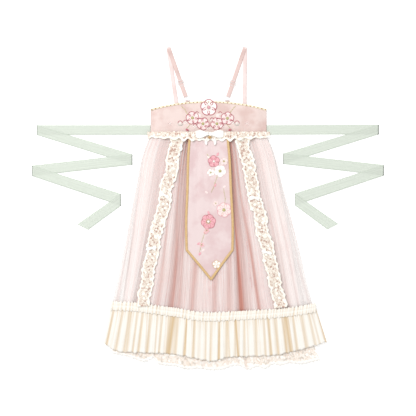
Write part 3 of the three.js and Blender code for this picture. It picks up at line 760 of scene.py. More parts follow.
class Bundle:
    # many small stitched shapes gathered into one piece
    def __init__(self, name):
        self.name = name
        self.vertices = []
        self.faces = []
        self.marks = []
        self.looks = []

    def add(self, vertices, faces, look):
        if look not in self.looks:
            self.looks.append(look)
        start = sum(len(part) for part in self.vertices)
        self.vertices.append(np.asarray(vertices, float))
        self.faces += [[corner + start for corner in face] for face in faces]
        self.marks += [self.looks.index(look)] * len(faces)

    def pad(self, x, y, length, width, turn, base, rise, look, point=0.0, rings=4, spokes=14):
        # a low domed patch of stitches; point above 0 sharpens its far end
        angle = np.linspace(0, 2 * math.pi, spokes, endpoint=False)
        taper = 1 - point * (np.cos(angle) * 0.5 + 0.5) ** 2
        outline = np.stack([np.cos(angle) * length / 2, np.sin(angle) * width / 2 * taper], -1)
        cosine, sine = math.cos(turn), math.sin(turn)
        vertices = []
        for share, height in [(0.92, base - 0.25), (1.0, base)] + \
                [(math.cos(step / rings * math.pi / 2),
                  base + rise * math.sin(step / rings * math.pi / 2))
                 for step in range(1, rings)]:
            ring = outline * share
            vertices.append(np.stack([x + ring[:, 0] * cosine - ring[:, 1] * sine,
                                      y + ring[:, 0] * sine + ring[:, 1] * cosine,
                                      np.full(spokes, height)], -1))
        vertices = np.concatenate(vertices + [np.array([[x, y, base - 0.25], [x, y, base + rise]])])
        count = rings + 1
        bottom, top = count * spokes, count * spokes + 1
        faces = []
        for ring in range(count - 1):
            for spoke in range(spokes):
                after = (spoke + 1) % spokes
                faces.append([ring * spokes + spoke, ring * spokes + after,
                              (ring + 1) * spokes + after, (ring + 1) * spokes + spoke])
        for spoke in range(spokes):
            after = (spoke + 1) % spokes
            faces.append([bottom, after, spoke])
            faces.append([top, (count - 1) * spokes + spoke, (count - 1) * spokes + after])
        self.add(vertices, faces, look)

    def thread(self, path, radius, look, closed=False, sides=6):
        # a round thread along places in space
        path = np.asarray(path, float)
        forward = np.gradient(path, axis=0)
        if closed:
            forward = np.roll(path, -1, 0) - np.roll(path, 1, 0)
        forward = forward / np.maximum(np.linalg.norm(forward, axis=1, keepdims=True), 1e-9)
        side = np.cross(forward, [0, 0, 1.0])
        side = side / np.maximum(np.linalg.norm(side, axis=1, keepdims=True), 1e-9)
        up = np.cross(side, forward)
        radius = np.broadcast_to(np.asarray(radius, float), (len(path),))[:, None, None]
        angle = np.linspace(0, 2 * math.pi, sides, endpoint=False)[None, :, None]
        spokes = np.cos(angle) * side[:, None, :] + np.sin(angle) * up[:, None, :]
        rings = path[:, None, :] + radius * spokes
        count = len(path)
        faces = []
        for ring in range(count if closed else count - 1):
            for spoke in range(sides):
                after, further = (spoke + 1) % sides, (ring + 1) % count
                faces.append([ring * sides + spoke, further * sides + spoke,
                              further * sides + after, ring * sides + after])
        if not closed:
            faces.append(list(range(sides)))
            faces.append(list(range((count - 1) * sides, count * sides))[::-1])
        self.add(rings.reshape(-1, 3), faces, look)

    def bead(self, x, y, z, radius, look, flat=0.8):
        angle = np.linspace(0, 2 * math.pi, 12, endpoint=False)
        vertices = [[x, y, z - radius * flat]]
        for tilt in (-50, -20, 10, 40, 65):
            ring = math.cos(math.radians(tilt)) * radius
            height = math.sin(math.radians(tilt)) * radius * flat
            vertices += [[x + ring * math.cos(a), y + ring * math.sin(a), z + height] for a in angle]
        vertices.append([x, y, z + radius * flat])
        faces = [[0, 1 + (k + 1) % 12, 1 + k] for k in range(12)]
        for ring in range(4):
            start = 1 + ring * 12
            faces += [[start + k, start + (k + 1) % 12, start + 12 + (k + 1) % 12, start + 12 + k]
                      for k in range(12)]
        faces += [[61, 49 + k, 49 + (k + 1) % 12] for k in range(12)]
        self.add(vertices, faces, look)

    def made(self):
        piece = makeMesh(self.name, np.concatenate(self.vertices), self.faces, self.looks[0])
        for look in self.looks[1:]:
            piece.data.materials.append(look)
        piece.data.polygons.foreach_set("material_index", self.marks)
        return piece


class Tree:
    def __init__(self, name, inputs):
        self.tree = bpy.data.node_groups.new(name, "GeometryNodeTree")
        self.tree.interface.new_socket("Geometry", in_out="INPUT", socket_type="NodeSocketGeometry")
        for key, kind in inputs.items():
            self.tree.interface.new_socket(key, in_out="INPUT", socket_type="NodeSocket" + kind)
        self.tree.interface.new_socket("Geometry", in_out="OUTPUT", socket_type="NodeSocketGeometry")
        self.given = self.tree.nodes.new("NodeGroupInput")
        self.result = self.tree.nodes.new("NodeGroupOutput")

    def node(self, kind, settings=None, inputs=None):
        made = self.tree.nodes.new(kind)
        for key, value in (settings or {}).items():
            setattr(made, key, value)
        for key, value in (inputs or {}).items():
            if isinstance(value, bpy.types.NodeSocket):
                self.tree.links.new(value, made.inputs[key])
            else:
                made.inputs[key].default_value = value
        return made

    def finish(self, geometry):
        real = self.node("GeometryNodeRealizeInstances", None, {0: geometry})
        inputs = {0: real.outputs[0], 2: self.given.outputs["Material"]}
        done = self.node("GeometryNodeSetMaterial", None, inputs)
        self.tree.links.new(done.outputs[0], self.result.inputs[0])
        return self.tree


def repeatTree(name, shape):
    # stands a small shape on every point, turned by the point's own angle
    tree = Tree(name, {"Length": "Float", "Width": "Float", "Height": "Float", "Spread": "Float",
                       "Seed": "Int", "Material": "Material"})
    if shape == "loop":
        ring = tree.node("GeometryNodeCurvePrimitiveCircle", None, {"Resolution": 12, "Radius": 0.5})
        profile = tree.node("GeometryNodeCurvePrimitiveCircle", None, {"Resolution": 5, "Radius": 0.16})
        unit = tree.node("GeometryNodeCurveToMesh", None, {0: ring.outputs[0], 1: profile.outputs[0]})
    else:
        unit = tree.node("GeometryNodeMeshUVSphere", None, {"Segments": 8, "Rings": 5, "Radius": 0.5})
    turn = tree.node("GeometryNodeInputNamedAttribute", {"data_type": "FLOAT"}, {0: "turn"})
    turned = tree.node("ShaderNodeCombineXYZ", None, {"Z": turn.outputs[0]})
    given = tree.given.outputs
    less = tree.node("ShaderNodeMath", {"operation": "SUBTRACT"}, {0: 1.0, 1: given["Spread"]})
    more = tree.node("ShaderNodeMath", {"operation": "ADD"}, {0: 1.0, 1: given["Spread"]})
    chance = tree.node("FunctionNodeRandomValue", {"data_type": "FLOAT"},
                       {"Seed": given["Seed"], 2: less.outputs[0], 3: more.outputs[0]})
    size = tree.node("ShaderNodeCombineXYZ", None,
                     {"X": given["Length"], "Y": given["Width"], "Z": given["Height"]})
    scaled = tree.node("ShaderNodeVectorMath", {"operation": "SCALE"},
                       {0: size.outputs[0], "Scale": chance.outputs[1]})
    placed = tree.node("GeometryNodeInstanceOnPoints", None,
                       {"Points": given["Geometry"], "Instance": unit.outputs[0],
                        "Rotation": turned.outputs[0], "Scale": scaled.outputs[0]})
    return tree.finish(placed.outputs[0])


repeatTrees = {"bead": repeatTree("beadRepeat", "bead"), "loop": repeatTree("loopRepeat", "loop")}


def repeat(name, shape, places, turns, size, look, spread=0.1, seed=1):
    # places in millimetres; size is length, width and height
    piece = makeMesh(name, places, [], look, values={"turn": turns})
    modifier = piece.modifiers.new("repeat", "NODES")
    modifier.node_group = repeatTrees[shape]
    length, width, height = [side * millimetre for side in size]
    given = {"Length": length, "Width": width, "Height": height,
             "Spread": spread, "Seed": seed, "Material": look}
    for item in repeatTrees[shape].interface.items_tree:
        if item.in_out == "INPUT" and item.name in given:
            modifier[item.identifier] = given[item.name]
    bpy.context.view_layer.update()
    graph = bpy.context.evaluated_depsgraph_get()
    mesh = bpy.data.meshes.new_from_object(piece.evaluated_get(graph), depsgraph=graph)
    piece.modifiers.clear()
    piece.data = mesh
    mesh.polygons.foreach_set("use_smooth", [True] * len(mesh.polygons))
    return piece


# Bodice

bodice = {
    "left": nodeBox("bodice_front")[0][0], "right": nodeBox("bodice_front")[1][0],
    "bottom": nodeBox("bodice_front")[0][1] - 2, "crown": nodeBox("bodice_front")[1][1] - 0.5,
    "corner": 253, "neckBack": nodeBox("bodice_back")[1][1] - 1,
    "level": 2.0, "dome": 4.0, "trimWidth": 3.4, "picotSpacing": 3.2, "dotSpacing": 9.5,
}


def bodiceTop(x):
    middle = (bodice["left"] + bodice["right"]) / 2
    half = (bodice["right"] - bodice["left"]) / 2
    return mix(bodice["crown"], bodice["corner"], np.clip((np.asarray(x) - middle) / half, -1, 1) ** 2)


def makeBodice():
    across = np.linspace(0, 1, 120)[:, None]
    down = np.linspace(0, 1, 30)[None, :]
    x = mix(bodice["left"], bodice["right"], across) + 0 * down
    y = mix(bodice["neckBack"], bodice["bottom"] + 2, down) + 0 * across
    back = clothWall("bodiceBack", stack(x, y, 0.6 + 0 * x), 0.5, looks["satin"])
    sheetOf(back, ["bodice_back"])
    y = mix(bodiceTop(x), bodice["bottom"], down)
    edge = np.minimum(np.minimum(across, 1 - across) * 12, 1)
    height = bodice["level"] + bodice["dome"] * smooth(edge) * (0.85 + 0.15 * np.sin(down * math.pi))
    height = height + 0.35 * ripple(61, x + 14 * down, 5, 60, 18) * smooth(down * 1.4) * smooth(edge)
    front = clothWall("bodiceFront", stack(x, y, height), 0.5, looks["satin"])
    sheetOf(front, ["bodice_front"])

    trimX = np.linspace(bodice["left"] + 0.5, bodice["right"] - 0.5, 150)
    path = np.stack([trimX, bodiceTop(trimX) - 0.4], -1)
    x, y, side = stripGrid(path, bodice["trimWidth"] / 2, 7)
    height = restingOn(x, y, 2, 0.3) + 0.9 * (1 - side ** 2)
    trim = clothWall("bodiceTrim", stack(x, y, height), 0.4, looks["braid"])
    ride(trim, ["bodice_trim"])
    topZ = float(height.max())
    count = int((bodice["right"] - bodice["left"]) / bodice["picotSpacing"])
    picotX = np.linspace(bodice["left"] + 2, bodice["right"] - 2, count)
    turns = np.arctan2(np.gradient(bodiceTop(picotX)), np.gradient(picotX))
    places = np.stack([picotX, bodiceTop(picotX) + 0.9, np.full(count, topZ - 1.0)], -1)
    picots = repeat("trimPicots", "loop", places, turns, (2.7, 2.9, 2.0), looks["braid"], 0.12, 4)
    ride(picots, [])
    count = int((bodice["right"] - bodice["left"]) / bodice["dotSpacing"])
    dotX = np.linspace(bodice["left"] + 3, bodice["right"] - 3, count)
    turns = np.arctan2(np.gradient(bodiceTop(dotX)), np.gradient(dotX))
    places = np.stack([dotX, bodiceTop(dotX) - 0.4, np.full(count, topZ)], -1)
    stitches = repeat("trimStitches", "bead", places, turns, (4.2, 2.6, 1.8), looks["brown"], 0.15, 5)
    ride(stitches, [])


makeBodice()
print("bodice done")

# Panel, edging and lace strips

panel = {
    "sides": [{"y": 190, "left": -46, "right": 49}, {"y": 95, "left": -52, "right": 57},
              {"y": -10, "left": -55, "right": 62}, {"y": -108, "left": -55, "right": 63}],
    "top": nodeBox("front_panel")[1][1] + 2, "shoulder": -108, "pointX": 8,
    "pointY": nodeBox("front_panel")[0][1],
    "edging": 5.8, "creaseX": -28,
}


def panelEdge(side, y):
    upper = readTable(panel["sides"], "y", side, np.maximum(y, panel["shoulder"]))
    below = np.clip((panel["shoulder"] - y) / (panel["shoulder"] - panel["pointY"]), 0, 1)
    return mix(upper, panel["pointX"], below)


def makePanel():
    across = np.linspace(0, 1, 90)[:, None]
    down = np.linspace(0, 1, 110)[None, :]
    y = mix(panel["top"], panel["pointY"] + 2, down) + 0 * across
    x = mix(panelEdge("left", y) + 0.5, panelEdge("right", y) - 0.5, across)
    base = restingOn(x, y, 12)
    wave = ripple(71, x + 5 * np.sin(y / 60), 5, 40, 12) * 0.5 + 0.5
    crease = np.exp(-((x - panel["creaseX"] - 2 * np.sin(y / 70)) / 4.0) ** 2) * smooth((y + 60) / 120)
    height = base + 0.8 + wave * 1.1 * smooth((y + 150) / 200) - crease * 1.1
    piece = clothWall("frontPanel", stack(x, y, height), 0.45, looks["panel"],
                      {"fold": np.clip(crease * 0.7 + (1 - wave) * 0.2, 0, 1)})
    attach(piece, "root")
    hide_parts("front_panel")
    # a pointed cut: its area is a share of its width times its length
    width = 118 * millimetre
    length = (panel["top"] - panel["pointY"]) * millimetre
    area = width * length * 0.83
    for side in ("left", "right"):
        y = np.concatenate([np.linspace(panel["top"], panel["shoulder"], 130),
                            np.linspace(panel["shoulder"], panel["pointY"], 40)[1:]])
        path = np.stack([panelEdge(side, y), y], -1)
        path[:, 0] += 0.9 * np.sin(y / 31) * (1 if side == "left" else -1)
        x, y, across = stripGrid(path, panel["edging"] / 2, 7)
        height = restingOn(x, y, 3, 0.3) + 0.9 * (1 - across ** 2) + 0.2 * np.sin(y / 3.1)
        edging = clothWall(side + "Edging", stack(x, y, height), 0.5, looks["gold"])
        ride(edging, ["panel_edging_" + side])


laceStrip = {
    "halfWidth": 16.5, "columns": 26, "rows": 300, "rise": 2.6, "wander": 4.0,
    "left": [(-79, 186), (-94, 105), (-109, 33), (-146, -124), (-166, -252)],
    "right": [(88, 186), (121, 26), (157, -124), (187, -256)],
    "bowTurns": {"left_upper": -0.55, "left_lower": 0.2, "right_upper": -0.1, "right_lower": -0.25},
}


def makeLaceStrips():
    for seed, side in enumerate(("left", "right")):
        path = curveThrough(laceStrip[side], laceStrip["rows"])
        along = np.concatenate([[0], np.cumsum(np.linalg.norm(np.diff(path, axis=0), axis=1))])
        wander = laceStrip["wander"] * ripple(81 + seed, along, 3, 140, 60)
        path = path + sideways(path) * wander[:, None]
        breadth = laceStrip["halfWidth"] + 1.6 * ripple(83 + seed, along, 3, 60, 25)
        x, y, across = stripGrid(path, breadth, laceStrip["columns"])
        frill = across ** 2 * np.sign(across)
        edgeWave = ripple(85 + seed, along[None, :] + 9 * across, 4, 26, 11)
        outward = sideways(path)
        x = x + outward[None, :, 0] * frill * edgeWave * 2.4
        y = y + outward[None, :, 1] * frill * edgeWave * 2.4
        wave = ripple(87 + seed, along[None, :] + 14 * across, 5, 24, 9) * 0.5 + 0.5
        gather = np.abs(across) ** 1.2
        height = restingOn(x, y, 6) + 0.5 + wave * laceStrip["rise"] * (0.25 + 0.75 * gather)
        edge = smooth((np.abs(across) - 0.7) / 0.12)
        # the fold values are painted shade in the hollows of the gathers
        piece = clothWall("laceStrip" + side.capitalize(), stack(x, y, height), 0.35, looks["lace"],
                          {"fold": np.clip(0.6 - wave, 0, 1) * 0.8, "edge": edge})
        sheetOf(piece, ["lace_strip_" + side])
    for key, bowTurn in laceStrip["bowTurns"].items():
        bundle = Bundle("laceBow_" + key)
        bowX, bowY = nodeMiddle("lace_bow_" + key)
        base = float(restingOn(bowX, bowY, 4, 0.4))
        for direction in (-1, 1):
            turn = bowTurn + (math.pi if direction < 0 else 0)
            x = bowX + direction * 6.8 * math.cos(bowTurn)
            y = bowY + direction * 6.8 * math.sin(bowTurn)
            bundle.pad(x, y, 14.5, 8.5, turn, base + 0.3, 1.8, looks["white"], -0.2)
            tailX = x + direction * 1.5 * math.cos(bowTurn)
            bundle.pad(tailX, y - 4.6, 9, 3.4, turn - 0.5 * direction, base, 0.9, looks["white"], 0.2)
        bundle.pad(bowX, bowY, 4.6, 6.0, bowTurn, base + 0.8, 2.0, looks["white"])
        ride(bundle.made(), ["lace_bow_" + key])


makePanel()
makeLaceStrips()
print("panel and lace strips done")

# Waist ruffle and bow

waistFrill = {
    "left": nodeBox("waist_ruffle")[0][0] + 1, "right": nodeBox("waist_ruffle")[1][0] - 1,
    "top": 196.5, "bottomSides": 181, "bottomMiddle": 172.5,
    "columns": 460, "rows": 18, "rise": 3.4,
    "bowX": nodeMiddle("bow_knot")[0], "bowY": nodeMiddle("bow_knot")[1] - 1,
    "loopReach": 38, "loopWidth": 20,
}


def makeWaist():
    across = np.linspace(0, 1, waistFrill["columns"])[:, None]
    down = np.linspace(0, 1, waistFrill["rows"])[None, :]
    x = mix(waistFrill["left"], waistFrill["right"], across) + 0 * down
    scallop = ripple(91, x, 4, 30, 17)
    lower = mix(waistFrill["bottomSides"], waistFrill["bottomMiddle"], np.sin(math.pi * across) ** 1.5)
    y = mix(waistFrill["top"] + 1.2 * ripple(92, x, 3, 20, 8), lower + 4.4 * scallop, down)
    crimp = ripple(93, x, 5, 13, 5)
    wave = mix(crimp, ripple(94, x + 3 * down, 4, 26, 12), smooth(down)) * 0.5 + 0.5
    height = restingOn(x, y, 6) + 0.4 + wave * waistFrill["rise"] * mix(0.35, 1, down)
    edge = smooth((down - 0.7) / 0.12) + 0 * across
    # the fold values are painted shade in the hollows of the ruffle's waves
    piece = clothWall("waistRuffle", stack(x, y, height), 0.4, looks["lace"],
                      {"fold": np.clip(0.55 - wave, 0, 1), "edge": edge})
    sheetOf(piece, ["waist_ruffle"])

    base = float(restingOn(waistFrill["bowX"], waistFrill["bowY"], 8, 0.3))
    for name, direction in (("Left", -1), ("Right", 1)):
        # each loop is a ribbon that runs out below and comes back on top
        wide = np.linspace(-1, 1, 17)[:, None]
        run = np.linspace(0, 1, 41)[None, :]
        reach = np.sin(run * math.pi) ** 0.75
        breadth = waistFrill["loopWidth"] / 2 * mix(0.3, 1.0, smooth(reach * 1.5))
        breadth = breadth * (1 - 0.12 * smooth((reach - 0.8) * 5))
        length = waistFrill["loopReach"] - 4 - 2.5 * wide ** 2
        x = waistFrill["bowX"] + direction * (2.0 + reach * length)
        y = waistFrill["bowY"] + wide * breadth + 1.5 * reach * direction * 0.3
        crease = np.sin(wide * 8 + 3 * reach) * 0.8 + np.sin(reach * 9 + 4 * wide) * 0.5
        top = smooth((run - 0.42) / 0.2)
        puff = 1.6 + 1.6 * np.sin(reach * math.pi) * (1 - 0.5 * wide ** 2) + crease
        height = base + 0.4 + top * puff
        grid = stack(x, y, height)
        grid = grid if direction > 0 else grid[::-1]
        loop = clothWall("bowLoop" + name, grid, 0.35, looks["white"], laid=False)
        sheetOf(loop, ["bow_loop_" + name.lower()])
    for name, lean in (("left", 0.15), ("right", -0.1)):
        bundle = Bundle("bowDrop_" + name)
        dropX, dropY = nodeMiddle("bow_drop_" + name)
        ground = float(restingOn(dropX, dropY - 4, 4, 0.3))
        bundle.pad(dropX, dropY - 4, 13.5, 7.8, -math.pi / 2 + lean, ground, 2.4, looks["white"], 0.15)
        turn = -math.pi / 2 - lean * 2
        bundle.pad(dropX, dropY + 4, 9, 4.5, turn, ground - 0.2, 2.0, looks["white"], 0.2)
        ride(bundle.made(), ["bow_drop_" + name])
    bundle = Bundle("bowKnot")
    bundle.pad(waistFrill["bowX"] + 2, waistFrill["bowY"], 9, 12, 0, base + 1.0, 3.4, looks["white"])
    for x, y, radius in ((4.5, 183.5, 2.6), (1.0, 181.5, 2.2), (7.5, 181.5, 2.2), (4.2, 179.2, 2.4)):
        bundle.bead(x, y, base + 2.2, radius, looks["bead"])
    ride(bundle.made(), ["bow_knot"])


makeWaist()
print("waist done")

# Embroidery

def groundAt(x, y, reach=1.0):
    return float(restingOn(x, y, reach, 0.0)) + 0.05


def petalFlower(bundle, flower):
    # petals with an outline of raised thread around a beaded middle
    x, y, radius = flower["x"], flower["y"], flower["size"] / 2
    base = groundAt(x, y, 3) + flower.get("lift", 0)
    for number in range(flower["petals"]):
        turn = flower.get("turn", 0.3) + number * 2 * math.pi / flower["petals"]
        length, width = radius * 0.78, radius * flower.get("breadth", 0.95)
        middleX, middleY = x + math.cos(turn) * radius * 0.58, y + math.sin(turn) * radius * 0.58
        bundle.pad(middleX, middleY, length, width, turn, base, 0.55, flower["petal"])
        angle = np.linspace(-2.5, 2.5, 22)
        outline = np.stack([middleX + np.cos(turn + 0 * angle) * np.cos(angle) * length / 2
                            - np.sin(turn) * np.sin(angle) * width / 2,
                            middleY + np.sin(turn) * np.cos(angle) * length / 2
                            + np.cos(turn) * np.sin(angle) * width / 2,
                            base + 0.35 + 0 * angle], -1)
        bundle.thread(outline, flower.get("line", 0.5), flower["outline"])
        if flower.get("vein"):
            reach = np.linspace(0.25, 0.72, 6)
            vein = np.stack([x + math.cos(turn) * radius * reach, y + math.sin(turn) * radius * reach,
                             base + 0.6 + 0 * reach], -1)
            bundle.thread(vein, 0.28, flower["vein"])
    bundle.bead(x, y, base + 0.8, flower.get("middle", radius * 0.2), flower["centre"])
    if flower.get("ring"):
        for angle in np.linspace(0, 2 * math.pi, 7, endpoint=False):
            bundle.bead(x + math.cos(angle) * radius * 0.27, y + math.sin(angle) * radius * 0.27,
                        base + 0.7, radius * 0.07, flower["ring"])


def bud(bundle, x, y, length, width, turn, look, outline=None):
    base = groundAt(x, y)
    bundle.pad(x, y, length, width, turn, base, 0.6, look, 0.45)
    if outline:
        angle = np.linspace(0, 2 * math.pi, 22, endpoint=False)
        taper = 1 - 0.45 * (np.cos(angle) * 0.5 + 0.5) ** 2
        alongs, wides = np.cos(angle) * length / 2, np.sin(angle) * width / 2 * taper
        path = np.stack([x + alongs * math.cos(turn) - wides * math.sin(turn),
                         y + alongs * math.sin(turn) + wides * math.cos(turn), base + 0.2 + 0 * angle], -1)
        bundle.thread(path, 0.4, outline, closed=True)


def sprig(bundle, knots, look, leaves=3, size=3.2):
    path = curveThrough(knots, 14)
    path = np.stack([path[:, 0], path[:, 1], [groundAt(px, py) + 0.25 for px, py in path]], -1)
    bundle.thread(path, 0.4, look)
    for number in range(leaves):
        place = path[int((number + 0.8) / leaves * 12)]
        heading = math.atan2(path[-1][1] - path[0][1], path[-1][0] - path[0][0])
        turn = heading + (0.8 if number % 2 else -0.8)
        bundle.pad(place[0] + math.cos(turn) * size * 0.5, place[1] + math.sin(turn) * size * 0.5, size,
                   size * 0.42, turn, place[2] - 0.2, 0.4, look, 0.4)


def ringFlower(bundle, x, y, size, top, bottom):
    base = groundAt(x, y) + 0.3
    for start, end, look in ((0.1, math.pi - 0.1, top), (math.pi + 0.1, 2 * math.pi - 0.1, bottom)):
        angle = np.linspace(start, end, 12)
        bundle.thread(np.stack([x + np.cos(angle) * size / 2, y + np.sin(angle) * size / 2,
                                base + 0 * angle], -1), 0.85, look)
    bundle.bead(x, y, base, size * 0.2, looks["whiteThread"])


petalShift = 0.0254      # share of a blossom's width
smallBlossom = {"size": 34, "petals": 5, "petal": looks["petal"], "outline": looks["rose"],
                "centre": looks["leaf"], "ring": looks["pearl"], "line": 0.85}
bodiceFlowers = {
    "middle": {"size": 43, "petals": 5, "petal": looks["whiteThread"], "outline": looks["rose"],
               "centre": looks["pink"], "vein": looks["grey"], "ring": looks["pearl"], "turn": 1.571,
               "breadth": 1.0, "line": 1.1, "middle": 3.6, "lift": 0.3},
    "1": dict(smallBlossom, shift=(-1, 0), turn=0.5),
    "2": dict(smallBlossom, shift=(0, -1), size=33, turn=1.1),
    "3": dict(smallBlossom, shift=(-1, -1), size=33, turn=0.8),
    "4": dict(smallBlossom, shift=(1, 0), turn=1.4),
}

panelFlowers = {
    "1": {"size": 31, "petals": 5, "petal": looks["pink"], "outline": looks["rose"],
          "centre": looks["pearl"], "turn": 0.4},
    "2": {"size": 32, "petals": 5, "petal": looks["whiteThread"], "outline": looks["petal"],
          "centre": looks["leaf"], "ring": looks["pearl"], "turn": 1.0},
    "3": {"size": 38, "petals": 6, "petal": looks["petal"], "outline": looks["pink"],
          "centre": looks["leaf"], "ring": looks["pearl"], "turn": 0.7},
    "4": {"size": 39, "petals": 6, "petal": looks["pink"], "outline": looks["rose"],
          "centre": looks["pearl"], "ring": looks["leaf"], "turn": 0.2},
}


def makeBlossoms(place, flowers):
    for key, flower in flowers.items():
        node = place + "_blossom_" + key
        low, high = nodeBox(node)
        # the node's box reaches a little further above the flower's middle than below
        width = high[0] - low[0]
        x, y = np.round(nodeMiddle(node) - [0, petalShift * width]) + flower.get("shift", (0, 0))
        bundle = Bundle(place + "Blossom_" + key)
        petalFlower(bundle, dict(flower, x=x, y=y))
        ride(bundle.made(), [node])


def makeEmbroidery():
    makeBlossoms("bodice", bodiceFlowers)
    small = Bundle("bodiceSprigs")
    middle = (bodice["left"] + bodice["right"]) / 2
    for direction in (-1, 1):
        x = middle + direction * 24
        bud(small, x, 236.5, 12, 8, -math.pi / 2 + direction * 0.4, looks["petal"], looks["whiteThread"])
        bud(small, middle + direction * 55, 201, 9, 6.5, 0.4 * direction, looks["rose"])
        sprig(small, [(middle + direction * 70, 263), (middle + direction * 60, 252),
                      (middle + direction * 54, 239)], looks["leaf"], 4)
        sprig(small, [(middle + direction * 57, 205), (middle + direction * 50, 212),
                      (middle + direction * 46, 218)], looks["leaf"], 2, 2.6)
        ringFlower(small, middle + direction * 73, 218.5, 12, looks["rose"], looks["grey"])
        ringFlower(small, middle + direction * 99, 218, 9, looks["petal"], looks["petal"])
        curls = ((9, 228, 9), (24, 228, 8), (35, 212, 9), (30, 244, 8), (5, 208, 8), (60, 222, 9))
        for away, y, size in curls:
            ringFlower(small, middle + direction * away, y, size, looks["rose"], looks["whiteThread"])
    ride(small.made(), [])
    makeBlossoms("panel", panelFlowers)
    spray = Bundle("panelSprigs")
    bud(spray, 25, 138, 11, 7, 1.1, looks["pink"])
    bud(spray, 2, 130, 9, 7, 2.2, looks["pearl"])
    sprig(spray, [(9, 124), (3, 131), (-3, 138)], looks["leaf"], 3)
    for x, y, size, look in ((7, 91, 20, "whiteThread"), (41, 120, 20, "petal"), (-3, -58, 14, "pink"),
                             (-16, -95, 13, "pink"), (20, 12, 14, "petal")):
        petalFlower(spray, {"x": x, "y": y, "size": size, "petals": 5, "petal": looks[look],
                            "outline": looks["petal"], "centre": looks["leaf"], "turn": x * 0.1})
    for x, y, turn, look in ((-4, 40.5, 2.4, "petal"), (18.5, 59, 1.2, "pink"), (43, 55, 0.5, "petal"),
                             (1.5, -12, 1.9, "pink"), (-7, -64, 2.8, "pink"), (-24, -92, 3.6, "pink"),
                             (-12, -109, 4.0, "petal"), (-21, -118, 4.1, "pink")):
        bud(spray, x, y, 10, 6.5, turn, looks[look])
    sprig(spray, [(8, 40), (16, 58), (24, 84)], looks["leaf"], 3)
    sprig(spray, [(36, -20), (44, 20), (40, 50)], looks["leaf"], 4)
    sprig(spray, [(-4, -52), (-14, -80), (-22, -114)], looks["leaf"], 4)
    petalFlower(spray, {"x": 22, "y": -145, "size": 22, "petals": 5, "petal": looks["whiteThread"],
                        "outline": looks["gold"], "centre": looks["pearl"], "middle": 3.0, "turn": 0.4})
    ride(spray.made(), [])


makeEmbroidery()
print("embroidery done")

# Straps and ties

straps = {
    "width": 10.4, "wall": 0.6, "nodeHalfWidth": 5.5, "sliderShare": 0.72, "ringRadius": 5.4,
    "backEnds": {"left": (-78.5, 250), "right": (94, 250)},
}


def unit(vector):
    return np.array(vector, float) / np.linalg.norm(vector)


def strapStrip(runs):
    # runs are places and heights along the middle; the width always lies across with +x
    places, sides, heights = [], [], []
    for run in runs:
        count = run.get("count", 24)
        share = np.linspace(0, 1, count)[:, None]
        places.append(mix(np.array(run["start"], float), np.array(run["end"], float), share))
        heading = unit(np.array(run["end"], float) - np.array(run["start"], float))
        side = np.array([heading[1], -heading[0]])
        side = side if side[0] > 0 else -side
        first = run.get("firstSide", side)
        last = run.get("lastSide", side)
        along = share[:, 0]
        weightFirst = np.clip(1 - along * 14, 0, 1)[:, None]
        weightLast = np.clip(along * 14 - 13, 0, 1)[:, None]
        sides.append(side * (1 - weightFirst - weightLast) + first * weightFirst + last * weightLast)
        heights.append(np.interp(along, [0, 0.06, 0.94, 1], run["heights"]))
    path, side, height = np.concatenate(places), np.concatenate(sides), np.concatenate(heights)
    across = np.linspace(-0.5, 0.5, 7)[:, None]
    x = path[None, :, 0] + side[None, :, 0] * across * straps["width"]
    y = path[None, :, 1] + side[None, :, 1] * across * straps["width"]
    z = height[None, :] + 0.25 * (1 - (2 * across) ** 2)
    return stack(x, y, z)


